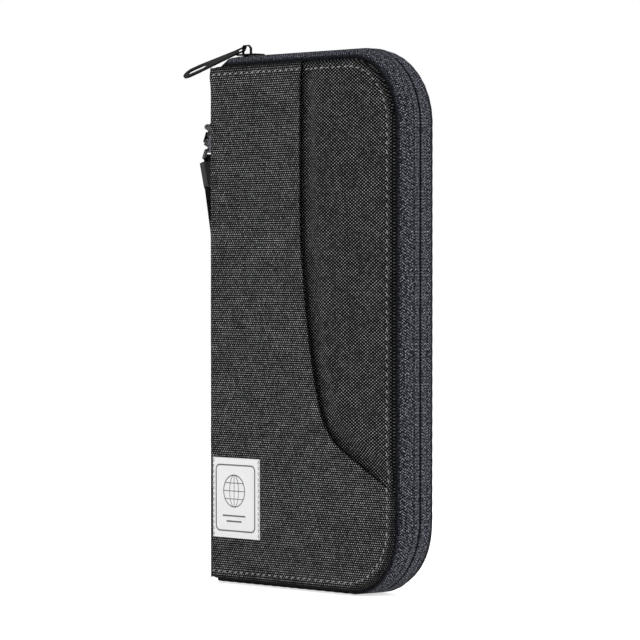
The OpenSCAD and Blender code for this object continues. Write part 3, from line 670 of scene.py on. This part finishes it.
def pocket_y(x, z):
    """The slip pocket's cloth, standing a little proud along its mouth."""
    distance = min(edge_distance(x, z), max(x - LEFT, 0) + 0.9)
    past = -past_mouth(x, z)
    y = FRONT + turned(distance, 1.7) + sewn_dip(edge_distance(x, z)) - 0.25 * ease(3, 26, edge_distance(x, z))
    y -= 1.0 * mouth_slack(z) * math.exp(-(max(past, 0) / 11) ** 2)
    return y + turned(past + 0.25, 0.7) * mouth_slack(z) + ripple(x, z, 9.0)


def front_y(x, z):
    return pocket_y(x, z) if past_mouth(x, z) < 0 else base_y(x, z)


def back_y(x, z):
    distance = edge_distance(x, z)
    y = BACK - turned(min(distance, max(x - LEFT, 0) + 0.9), 1.7) - sewn_dip(distance)
    return y + 0.1 * ease(3, 30, distance) + ripple(x, z, 5.0, 0.1)


def cover_side():
    """The zip-side outline of a cover from foot to top."""
    low = arc((CORNER_X, LOW_Z), CORNER, -90, 0, 24)
    high = arc((CORNER_X, HIGH_Z), CORNER, 0, 90, 24)
    return low + high


def cover_skin(side, columns, rows, surface, depth, out):
    """Cloth between the spine edge and a side line, with its edge turned back by depth, and a 'fold' attribute of
    painted shade along its outline.
    """
    walk = along(side)

    def place(s, t):
        end = walk(crowd(t, 0.55))
        start = left_edge(end.y)
        x = start + (end.x - start) * crowd(s, 0.6)
        puff = spine_bulge(end.y) * math.exp(-(x - start) / 2.5) * (out < 0)
        return Vector((x - puff, surface(x, end.y), end.y))
    bm = grid(columns, rows, place)
    face_towards(bm, lambda centre: Vector((0, out, 0)))
    # fold: painted shade along the outline beside the zip tape, where the turned edge meets the tape; woven_material
    # darkens the colour by it.
    fold = bm.verts.layers.float.new("fold")
    for v in bm.verts:
        v[fold] = 0.72 * (1 - ease(0.6, 2.3, edge_distance(v.co.x, v.co.z)))
    rim = bmesh.ops.extrude_edge_only(bm, edges=[e for e in bm.edges if e.is_boundary])
    moved = [v for v in rim["geom"] if isinstance(v, bmesh.types.BMVert)]
    for v in moved:
        v.co.y -= out * depth
    bm.normal_update()
    return bm


def make_front_base():
    bm = cover_skin(cover_side(), 130, 230, base_y, 0.5, -1)
    made = piece(bm, "front_base_cloth", base_cloth, "front_cover", "outer_fabric", ["front_outer_panel"])
    thicken(made, 0.6)


def make_slip_pocket():
    mouth_line = [(mouth(z)[0], z) for z in [MOUTH_EXIT_Z + (HIGH - MOUTH_EXIT_Z) * k / 160 for k in range(161)]]
    side = arc((CORNER_X, LOW_Z), CORNER, -90, 0, 24) + mouth_line
    bm = cover_skin(side, 110, 230, pocket_y, 0.7, -1)
    made = piece(bm, "slip_pocket_cloth", pocket_cloth, "front_cover", "outer_fabric", ["front_slip_pocket"])
    thicken(made, 0.7)


def make_back_panel():
    bm = cover_skin(cover_side(), 90, 190, back_y, 1.0, 1)
    made = piece(bm, "back_cloth", pocket_cloth, "back_cover", "outer_fabric", ["back_outer_panel"])
    thicken(made, 0.5)


def stitch_route(inset):
    """The sewing line along the top, zip side and foot of a cover."""
    r = CORNER - inset
    top = [(LEFT + 1.5, HIGH - inset)]
    high = [p for p in reversed(arc((CORNER_X, HIGH_Z), r, 0, 90, 30))]
    low = [p for p in reversed(arc((CORNER_X, LOW_Z), r, -90, 0, 30))]
    return along(top + high + low + [(LEFT + 1.5, LOW + inset)])


def make_topstitch(name, surface, out, body):
    walk = stitch_route(STITCH_INSET)
    pitch, tilt = 3.7, math.radians(17) * -out
    count = int(walk.length / pitch)
    places = []
    for k in range(count + 1):
        spot = walk(k / count)
        ahead = walk(min(k / count + 0.001, 1.0)) - walk(max(k / count - 0.001, 0.0))
        angle = math.atan2(ahead.y, ahead.x) + tilt
        direction = Vector((math.cos(angle), 0, math.sin(angle)))
        y = surface(spot.x, spot.y) + out * 0.12
        places.append(((spot.x, y, spot.y), direction, (0, out, 0)))
    piece(capsules(places, (1.15, 0.25, 0.24)), name, seam_thread, body, "outer_fabric")


def make_spine():
    """The covers' cloth carried round the spine, puffed out at its front corner."""
    line = [(-57.7, 12.0), (-58.3, 11.9), (-58.85, 11.3), (-59.1, 10.2), (-59.2, 7), (-59.3, 3), (-59.33, 0), (-59.3, -3),
            (-59.2, -7), (-59.1, -10.2), (-58.85, -11.3), (-58.3, -11.9), (-57.7, -12.05)]
    walk = along(line)

    def place(s, t):
        p = walk(crowd(s, 0.6))
        z = LOW + 0.4 + (HIGH - LOW - 0.8) * t
        fold = ripple(p.y * 2, z, 21.0, 0.25) * ease(2, 7, 12 - abs(p.y))
        puff = spine_bulge(z) * ease(-7.5, -11.5, p.y)
        return Vector((p.x + fold * 0.5 - puff, p.y, z))
    bm = grid(36, 150, place)
    face_towards(bm, lambda centre: Vector((-1, 0, 0)))
    made = thicken(piece(bm, "spine_cloth", pocket_cloth, None, "outer_fabric", ["spine_panel"]), 0.5)
    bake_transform(made)


# ---------- label ----------

LABEL_X, LABEL_Z, LABEL_W, LABEL_H = LEFT + 1.8, 20.0, 31.0, 35.0


def label_surface(x, z):
    return front_y(x, z) - 0.42


def make_label():
    def place(s, t):
        x, z = LABEL_X + LABEL_W * s, LABEL_Z + LABEL_H * t
        rim = min(s, 1 - s) * LABEL_W
        curl = 0.18 * math.exp(-rim / 1.2) - 0.10 * math.sin(math.pi * s) * math.sin(math.pi * t)
        return Vector((x, label_surface(x, z) + curl, z))
    bm = grid(60, 60, place)
    face_towards(bm, lambda centre: Vector((0, -1, 0)))
    label = thicken(piece(bm, "label_cloth", label_weave, "front_cover", "label_cloth", ["label_patch"]), 0.3)
    middle = (LABEL_X + 14.4, LABEL_Z + 20.5)
    globe = 7.0
    lines = [(rounded_frame(LABEL_X + 2.3, LABEL_X + LABEL_W - 3.0, LABEL_Z + 3.0, LABEL_Z + LABEL_H - 3.2, 2.2), 0.34)]
    lines.append((ring_line(middle, globe, globe), 0.3))
    lines.append((ring_line(middle, globe * 0.42, globe), 0.22))
    for share in (-0.5, 0.0, 0.5):
        half = globe * math.sqrt(1 - share * share)
        height = middle[1] + share * globe
        lines.append(([(middle[0] - half, height), (middle[0] + half, height)], 0.22))
    lines.append(([(middle[0], middle[1] - globe), (middle[0], middle[1] + globe)], 0.22))
    for height, half in ((LABEL_Z + 9.6, 7.5), (LABEL_Z + 7.2, 5.0)):
        lines.append(([(middle[0] - half, height), (middle[0] + half, height)], 0.42))
    bm = bmesh.new()
    for points, radius in lines:
        add_thread(bm, points, radius)
    piece(bm, "label_picture_thread", label_thread, "front_cover", "label_cloth")
    places = []
    for x in (LABEL_X + 0.7, LABEL_X + LABEL_W - 0.7):
        for k in range(14):
            z = LABEL_Z + 1.4 + k * (LABEL_H - 2.8) / 13
            places.append(((x, label_surface(x, z) - 0.05, z), (0, 0, 1), (0, -1, 0)))
    piece(capsules(places, (0.95, 0.2, 0.16)), "label_end_stitches", seam_thread, "front_cover", "label_cloth")


def ring_line(middle, across, up, steps=40):
    turns = [2 * math.pi * k / steps for k in range(steps + 1)]
    return [(middle[0] + across * math.cos(a), middle[1] + up * math.sin(a)) for a in turns]


def rounded_frame(x0, x1, z0, z1, r):
    points = []
    for cx, cz, start in ((x1 - r, z1 - r, 0), (x0 + r, z1 - r, 90), (x0 + r, z0 + r, 180), (x1 - r, z0 + r, 270)):
        points += arc((cx, cz), r, start, start + 90, 6)
    return points + points[:1]


def add_thread(bm, points, radius):
    """A flat raised thread over the label along a line of (x, z) points."""
    walk = along(points)
    steps = max(int(walk.length / 0.7), 2)
    closed = (Vector(points[0]) - Vector(points[-1])).length < 1e-6

    def place(s, t):
        spot = walk(s)
        back = walk((s - 0.004) % 1.0 if closed else max(s - 0.004, 0))
        ahead = walk((s + 0.004) % 1.0 if closed else min(s + 0.004, 1))
        way = (ahead - back).normalized()
        side = Vector((-way.y, way.x))
        turn = math.pi * t
        x, z = spot + side * radius * math.cos(turn)
        return Vector((x, label_surface(x, z) - 0.02 - 0.16 * math.sin(turn), z))
    strip = grid(steps, 4, place)
    face_towards(strip, lambda centre: Vector((0, -1, 0)))
    mesh = bpy.data.meshes.new("strip")
    strip.to_mesh(mesh)
    strip.free()
    bm.from_mesh(mesh)
    bpy.data.meshes.remove(mesh)


# ---------- zip ----------

def zip_route():
    """The zip's crest from the spine's top corner, over the top, down the side and back along the foot."""
    slope = [(TAPE_END_X, CREST_Z - TAPE_DROP), (TAPE_BEND_X - 1.5, CREST_Z - 0.75),
             (TAPE_BEND_X + 0.6, CREST_Z - 0.05), (TAPE_BEND_X + 3, CREST_Z)]
    high = list(reversed(arc((CORNER_X, HIGH_Z), ZIP_R, 0, 90, 48)))
    low = list(reversed(arc((CORNER_X, ZIP_R), ZIP_R, -90, 0, 48)))
    return along(slope + high + low + [(TAPE_END_X, 0.0)])


zip_walk = zip_route()
ZIP_LENGTH = zip_walk.length
SLOPE_LENGTH = math.hypot(TAPE_BEND_X - TAPE_END_X, TAPE_DROP)
TOP_END = SLOPE_LENGTH + CORNER_X - TAPE_BEND_X
QUARTER = ZIP_R * RIGHT_ANGLE
SIDE_START = TOP_END + QUARTER
SIDE_END = SIDE_START + HIGH_Z - ZIP_R
FOOT_START = SIDE_END + QUARTER


def zip_frame(reach):
    """Crest point, direction along the zip and outward direction at a distance along it."""
    step = 0.35 / ZIP_LENGTH
    share = reach / ZIP_LENGTH
    spot = zip_walk(share)
    way = (zip_walk(min(share + step, 1.0)) - zip_walk(max(share - step, 0.0))).normalized()
    return Vector((spot.x, 0, spot.y)), Vector((way.x, 0, way.y)), Vector((-way.y, 0, way.x))


# Cross-section of a tape as (away from the seam, out from the crest)
SEAM_LINE = [(0.22, -1.4), (0.32, -0.8), (0.5, -0.3), (0.9, 0.0), (1.7, 0.06), (2.5, 0.04), (3.05, -0.06), (3.4, -0.42),
             (4.0, -0.46)]
SHOULDER_R = 7.09
SHOULDER = [(4.0 + SHOULDER_R * math.sin(math.radians(a)), SHOULDER_R * (math.cos(math.radians(a)) - 1) - 0.44 * (1 - a / 64.6))
            for a in (6, 13, 20, 27, 34, 41, 48, 54, 60, 64.6)]
SIDE_SECTION = SEAM_LINE + SHOULDER + [(10.3, -4.36), (9.3, -4.62), (8.85, -5.6)]
FOOT_SECTION = [(w, min(h, 0) if w < 1 else 0.0) for w, h in SEAM_LINE]
FOOT_SECTION += [(4.0 + 0.43 * k, 0.0) for k in range(1, 10)] + [(8.5, -0.08), (8.76, -0.45), (8.8, -1.5), (8.7, -3.8)]
END_SECTION = [(3.2 + (w - 0.1) * 5.55 / 10.5, max(h * 0.48, -2.0)) for w, h in SIDE_SECTION[:-3]]
END_SECTION += [(8.8, -2.1), (8.75, -2.6), (8.6, -3.4)]


def tape_section(reach, number):
    """The cross-section point at a distance along the zip: plain, drawn in at the spine end, flat under the foot."""
    w, h = SIDE_SECTION[number]
    end = 1 - ease(SLOPE_LENGTH - 1.5, SLOPE_LENGTH + 1.5, reach)
    foot = ease(SIDE_END, FOOT_START, reach)
    if end > 0:
        w2, h2 = END_SECTION[number]
        return w + (w2 - w) * end, h + (h2 - h) * end
    w2, h2 = FOOT_SECTION[number]
    return w + (w2 - w) * foot, h + (h2 - h) * foot


SECTION_REACH = [0.0]
for first, second in zip(SIDE_SECTION, SIDE_SECTION[1:]):
    SECTION_REACH.append(SECTION_REACH[-1] + math.dist(first, second))


def make_tape(name, material, out, body, cad_node):
    count = len(SIDE_SECTION) - 1

    def place(s, t):
        reach = s * ZIP_LENGTH
        spot, _, outward = zip_frame(reach)
        w, h = tape_section(reach, round(t * count))
        pucker = 0.07 * math.sin(reach * 1.1) * ease(4.5, 8, w) * (1 - ease(9, 10.5, w))
        return spot + outward * (h + pucker) + Vector((0, out * w, 0))

    def uv(s, t):
        return s * ZIP_LENGTH, SECTION_REACH[round(t * count)]
    bm = grid(440, count, place, uv)
    middle = Vector((0, 0, 115))
    face_towards(bm, lambda centre: (centre - middle).normalized())
    thicken(piece(bm, name, material, body, "zip_tape", [cad_node], 60), 0.35)


def coil(frames, start, end, centre, swing, pitch, wire, sides=5, turn_steps=8):
    """A nylon coil along a line: frames(distance) gives its point, direction and outward; centre and swing are (across, out)."""
    steps = int((end - start) / pitch * turn_steps)

    def place(s, t):
        reach = start + (end - start) * s
        spot, way, outward, across = frames(reach)
        turn = 2 * math.pi * (reach - start) / pitch
        radial = across * math.cos(turn) + outward * math.sin(turn)
        middle = spot + across * (centre[0] + swing[0] * math.cos(turn)) + outward * (centre[1] + swing[1] * math.sin(turn))
        angle = 2 * math.pi * t
        return middle + (radial * math.cos(angle) + way * math.sin(angle)) * wire
    bm = grid(steps, sides, place, wrap=True)
    bmesh.ops.recalc_face_normals(bm, faces=bm.faces)
    return bm


COIL_PITCH = 1.3
COILS_MEET = (96, 104)
MESH_SHIFT = 0.7


def make_zip_coil(name, out, body, cad_node, start):
    """One half of the coil: apart where the slider runs, and meshed with the other half past its travel."""
    def frames(reach):
        spot, way, outward = zip_frame(reach)
        across = Vector((0, out, 0))
        return spot - across * MESH_SHIFT * ease(*COILS_MEET, reach), way, outward, across
    bm = coil(frames, start, ZIP_LENGTH - 4, (1.52, -1.5), (0.82, 0.45), COIL_PITCH, 0.26)
    piece(bm, name, coil_nylon, body, "zip_coil", [cad_node], 80)


# ---------- pages inside ----------

def page_sheet(name, body, material, span, heights, wall, gap, inward, stands_for, notch=None, belly=0.25):
    """A sewn-on cloth: flat to the wall along its stitched edges and free by gap at its mouth."""
    x0, x1 = span
    z0, z1 = heights

    def top(x):
        if notch and abs(x - notch[0]) < notch[1]:
            return z1 - math.sqrt(notch[1] ** 2 - (x - notch[0]) ** 2) * notch[2]
        return z1

    def place(s, t):
        x = x0 + (x1 - x0) * crowd(s, 0.5)
        z = z0 + (top(x) - z0) * crowd(t, 0.5)
        limit = right_edge(z, PAGE_INSET)
        if x1 >= RIGHT - PAGE_INSET - 0.01:
            x = x0 + (limit - x0) * crowd(s, 0.5)
        low = z - z0
        sewn = min(x - x0, (limit if x1 > RIGHT - 6 else x1) - x, low)
        free = ease(0.2, 3.6, sewn)
        swell = belly * math.sin(math.pi * s) * ease(0, 25, low)
        return Vector((x, wall + inward * (0.25 + (gap - 0.25) * free + swell + ripple(x, z, len(name), 0.15) * free), z))
    bm = grid(56, 56, place)
    face_towards(bm, lambda centre: Vector((0, inward, 0)))
    made = thicken(piece(bm, name, material, body, "lining", stands_for), 0.35)

    def trim(s, t):
        x = x0 + 0.3 + (min(x1, right_edge(z1, PAGE_INSET)) - x0 - 0.6) * s
        z = top(x) - 2.6 + 2.9 * t
        free = ease(0.2, 3.6, min(x - x0, min(x1, right_edge(z1, PAGE_INSET)) - x))
        swell = belly * math.sin(math.pi * s)
        return Vector((x, wall + inward * (0.5 + (gap - 0.25) * free + swell + ripple(x, z, len(name), 0.15) * free), z))

    def uv(s, t):
        return s * (x1 - x0), t * 2.9
    bm = grid(56, 3, trim, uv)
    face_towards(bm, lambda centre: Vector((0, inward, 0)))
    thicken(piece(bm, name + "_binding", binding_cloth, body, "lining"), 0.85)
    return made


def make_lining(name, body, wall, inward, cad_node):
    def place(s, t):
        z = LOW + LINING_INSET + (HIGH - LOW - 2 * LINING_INSET) * crowd(t, 0.4)
        start, end = left_edge(z, LINING_INSET), right_edge(z, LINING_INSET)
        x = start + (end - start) * crowd(s, 0.4)
        return Vector((x, wall + ripple(x, z, 31.0, 0.1) - inward * 0.05, z))
    bm = grid(60, 100, place)
    face_towards(bm, lambda centre: Vector((0, inward, 0)))
    made = thicken(piece(bm, name, lining_cloth, body, "lining", [cad_node]), 0.3)


def make_inner_binding(name, body, wall, inward):
    """The ribbon that closes the seam between lining, tape and cover, all round the inside edge."""
    r = CORNER

    def ring(inset):
        points = [(LEFT + inset, LOW + inset), (LEFT + inset, HIGH - inset)]
        points += list(reversed(arc((CORNER_X, HIGH_Z), r - inset, 0, 90, 16)))
        points += list(reversed(arc((CORNER_X, LOW_Z), r - inset, -90, 0, 16)))
        return points + [(LEFT + inset, LOW + inset)]
    section = [(6.4, 0.05), (6.0, 0.42), (5.0, 0.5), (3.6, 0.25), (2.4, -0.6), (1.5, -1.5), (1.0, -2.1)]
    rings = [ring(inset) for inset, _ in section]
    count = len(section) - 1
    corners = len(rings[0]) - 1
    lengths = along(rings[0])

    def place(s, t):
        number = round(t * count)
        step = s * corners
        k = min(int(step), corners - 1)
        p = Vector(rings[number][k]).lerp(Vector(rings[number][k + 1]), step - k)
        return Vector((p.x, wall + inward * section[number][1], p.y))

    def uv(s, t):
        return s * lengths.length, t * 7.0
    bm = grid(corners * 4, count, place, uv, wrap=True)
    face_towards(bm, lambda centre: Vector((0, inward, 0)))
    thicken(piece(bm, name, binding_cloth, body, "lining"), 0.25)


def make_pages():
    make_lining("front_lining_cloth", "front_cover", FRONT_LINING, 1, "front_lining")
    make_lining("back_lining_cloth", "back_cover", BACK_LINING, -1, "back_lining")
    make_inner_binding("front_inner_binding", "front_cover", FRONT_LINING, 1)
    make_inner_binding("back_inner_binding", "back_cover", BACK_LINING, -1)
    page_left, page_right, page_low = LEFT + 14, RIGHT - PAGE_INSET, LOW + PAGE_INSET
    full_width = (page_left, page_right)
    page_sheet("ticket_pocket_cloth", "front_cover", lining_cloth, full_width, (page_low, 196), FRONT_LINING, 1.7, 1,
               ["ticket_pocket"])
    page_sheet("passport_pocket_cloth", "front_cover", lining_cloth, full_width, (page_low, 112), FRONT_LINING + 1.8, 1.7, 1,
               ["passport_pocket"], notch=(7.0, 13.5, 0.75))
    for number, height in enumerate((206, 192, 178, 164)):
        page_sheet(f"card_pocket_cloth_{number + 1}", "back_cover", lining_cloth, (page_left, 46), (122, height),
                   BACK_LINING - 1.2 * number, 1.1, -1, [f"card_slot_{number + 1}"], belly=0.0)
    page_sheet("coin_pocket_cloth", "back_cover", lining_cloth, full_width, (page_low, 92), BACK_LINING, 3.5, -1,
               ["coin_pocket_panel"])
    page_sheet("coin_header_cloth", "back_cover", lining_cloth, full_width, (100, 112), BACK_LINING, 3.5, -1,
               ["coin_pocket_header"], belly=0.0)


def make_coin_zip():
    low, high = (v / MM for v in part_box("coin_zip_tape_lower"))
    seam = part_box("coin_zip_tape_upper")[0].z / MM - 0.35
    tapes = (("coin_tape_lower_cloth", -1, "coin_zip_tape_lower"), ("coin_tape_upper_cloth", 1, "coin_zip_tape_upper"))
    for name, way, cad_node in tapes:
        def place(s, t, way=way):
            rise = 0.3 * math.exp(-((t * 3.65 - 1.2) / 1.2) ** 2)
            return Vector((low.x + (high.x - low.x) * s, low.y - rise * 0.6 + 0.05, seam + way * (0.12 + 3.8 * t)))

        def uv(s, t):
            return s * (high.x - low.x), 0.2 + t * 3.8
        bm = grid(120, 8, place, uv)
        face_towards(bm, lambda centre: Vector((0, -1, 0)))
        thicken(piece(bm, name, front_tape_cloth, "back_cover", "zip_tape", [cad_node]), 0.4)
    start, end = (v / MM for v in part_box("coin_zip_coil"))
    for name, way in (("coin_coil_lower", -1), ("coin_coil_upper", 1)):
        def frames(reach, way=way):
            spot = Vector((start.x + reach, (start.y + end.y) / 2, seam))
            return spot, Vector((1, 0, 0)), Vector((0, -1, 0)), Vector((0, 0, way))
        bm = coil(frames, 0.3, end.x - start.x - 0.3, (1.1, 0.0), (0.5, 0.28), 1.1, 0.2)
        made = piece(bm, name, coil_nylon, "back_cover", "zip_coil", [], 80)
        if way < 0:
            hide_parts("coin_zip_coil")


def make_spine_inside():
    low, high = (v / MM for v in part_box("spine_lining"))

    def place(s, t):
        y = low.y + (high.y - low.y) * s
        z = low.z + (high.z - low.z) * t
        return Vector((high.x + 0.05 + ripple(y * 2, z, 41.0, 0.12), y, z))
    bm = grid(20, 90, place)
    face_towards(bm, lambda centre: Vector((1, 0, 0)))
    made = thicken(piece(bm, "spine_lining_cloth", lining_cloth, "back_cover", "lining", ["spine_lining"]), 0.25)


def make_pen_loop():
    low, high = (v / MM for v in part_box("pen_loop"))
    centre = (low + high) / 2
    outer = (high.x - low.x) / 2

    def place(s, t):
        turn = 2 * math.pi * s
        z = low.z + (high.z - low.z) * t
        squeeze = 1 - 0.025 * math.sin(turn * 2) ** 2
        r = outer * squeeze - 0.05 + 0.05 * math.sin(z * 2 * math.pi / 2.0)
        return Vector((centre.x + r * math.cos(turn), centre.y + r * math.sin(turn), z))

    def uv(s, t):
        return t * (high.z - low.z), s * 2 * math.pi * outer
    bm = grid(48, 60, place, uv, wrap=True)
    face_towards(bm, lambda spot: Vector((spot.x - centre.x, spot.y - centre.y, 0)))
    thicken(piece(bm, "pen_loop_elastic", binding_cloth, "back_cover", "webbing", ["pen_loop"]), 0.6)


# ---------- metal parts ----------

def make_metal():
    for name, material, slot, bevel in (
            ("slider_body", black_gloss, "black_metal", 0.18), ("slider_bail", black_gloss, "black_metal", 0.22),
            ("pull_tab", black_gloss, "black_metal", 0.25), ("d_ring", gunmetal, "gunmetal", 0.1),
            ("clasp_hook", gunmetal, "gunmetal", 0.42), ("clasp_gate", gunmetal, "gunmetal", 0.3),
            ("gate_pin", gunmetal, "gunmetal", 0.1), ("gate_spring", spring_steel, "spring_steel", 0.05),
            ("swivel_eye", gunmetal, "gunmetal", 0.15), ("coin_slider", nickel, "nickel", 0.12),
            ("coin_pull", nickel, "nickel", 0.15)):
        finished_copy(name, material, slot, bevel)


# ---------- wrist strap ----------

def make_strap():
    finished_copy("strap_tab", tab_webbing, "webbing", 0.2)
    finished_copy("strap_link", tab_webbing, "webbing", 0.15)
    finished_copy("strap_keeper", keeper_rubber, "keeper_rubber", 0.6)
    low, high = (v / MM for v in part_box("wrist_strap"))
    keeper_low, keeper_high = (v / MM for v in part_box("strap_keeper"))
    left, right = -71.0, -65.0
    bend = low.z + 3.5
    lean = math.radians(15)
    root = Vector((keeper_high.x - 1.75 * math.cos(lean), keeper_low.z + 1.75 * math.sin(lean)))
    way, side = Vector((math.sin(lean), -math.cos(lean))), Vector((math.cos(lean), math.sin(lean)))
    start, finish = root - side * 0.52 - way * 2.0, root + side * 0.52 - way * 2.0
    split = root.y - 26
    points = [start, root - side * 0.52 + way * 1.0, (left - 0.55, split + 6), (left, split - 4)]
    points += [(left, z) for z in (120, 90, 60, 40)]
    points += [(left + 3 - 3 * math.cos(math.pi * k / 12), bend - 3 * math.sin(math.pi * k / 12)) for k in range(13)]
    points += [(right, z) for z in (40, 60, 90, 120)]
    points += [(right, split - 4), (right - 0.9, split + 6), root + side * 0.52 + way * 1.0, finish]
    walk = along(points)

    def place(s, t):
        spot = walk(s)
        ahead = (walk(min(s + 0.003, 1)) - walk(max(s - 0.003, 0))).normalized()
        out = Vector((-ahead.y, ahead.x)) * -0.48
        cup = 0.10 * math.sin(math.pi * t) + ripple(spot.y, t * 10, 51.0, 0.12)
        out = out * (1 + cup * 0.3)
        y = low.y + (high.y - low.y) * t
        return Vector((spot.x + out.x, y, spot.y + out.y))

    def uv(s, t):
        return s * walk.length, t * (high.y - low.y)
    bm = grid(320, 10, place, uv)
    middle = Vector(((left + right) / 2, 0, 90))
    face_towards(bm, lambda centre: Vector((centre.x - middle.x, 0, 0)).normalized())
    thicken(piece(bm, "wrist_strap_webbing", strap_webbing, "strap", "webbing", ["wrist_strap"]), 0.95)


# ---------- boards ----------

def dress_boards():
    for name in ("front_board", "back_board"):
        board = frame["nodes"][name]
        board.data.materials.clear()
        board.data.materials.append(foam)


make_camera()
make_studio()
make_front_base()
make_slip_pocket()
make_back_panel()
make_topstitch("front_topstitch", front_y, -1, "front_cover")
make_topstitch("back_topstitch", back_y, 1, "back_cover")
make_spine()
make_label()
make_tape("front_zip_tape_cloth", front_tape_cloth, -1, "front_cover", "zip_tape_front")
make_tape("back_zip_tape_cloth", back_tape_cloth, 1, "back_cover", "zip_tape_back")
make_zip_coil("front_coil", -1, "front_cover", "zip_coil_front", SLOPE_LENGTH + 0.8 + 9.5 * COIL_PITCH)
make_zip_coil("back_coil", 1, "back_cover", "zip_coil_back", SLOPE_LENGTH + 0.8)
make_pages()
make_coin_zip()
make_spine_inside()
make_pen_loop()
make_metal()
make_strap()
dress_boards()
bpy.context.scene.view_settings.view_transform = "Standard"
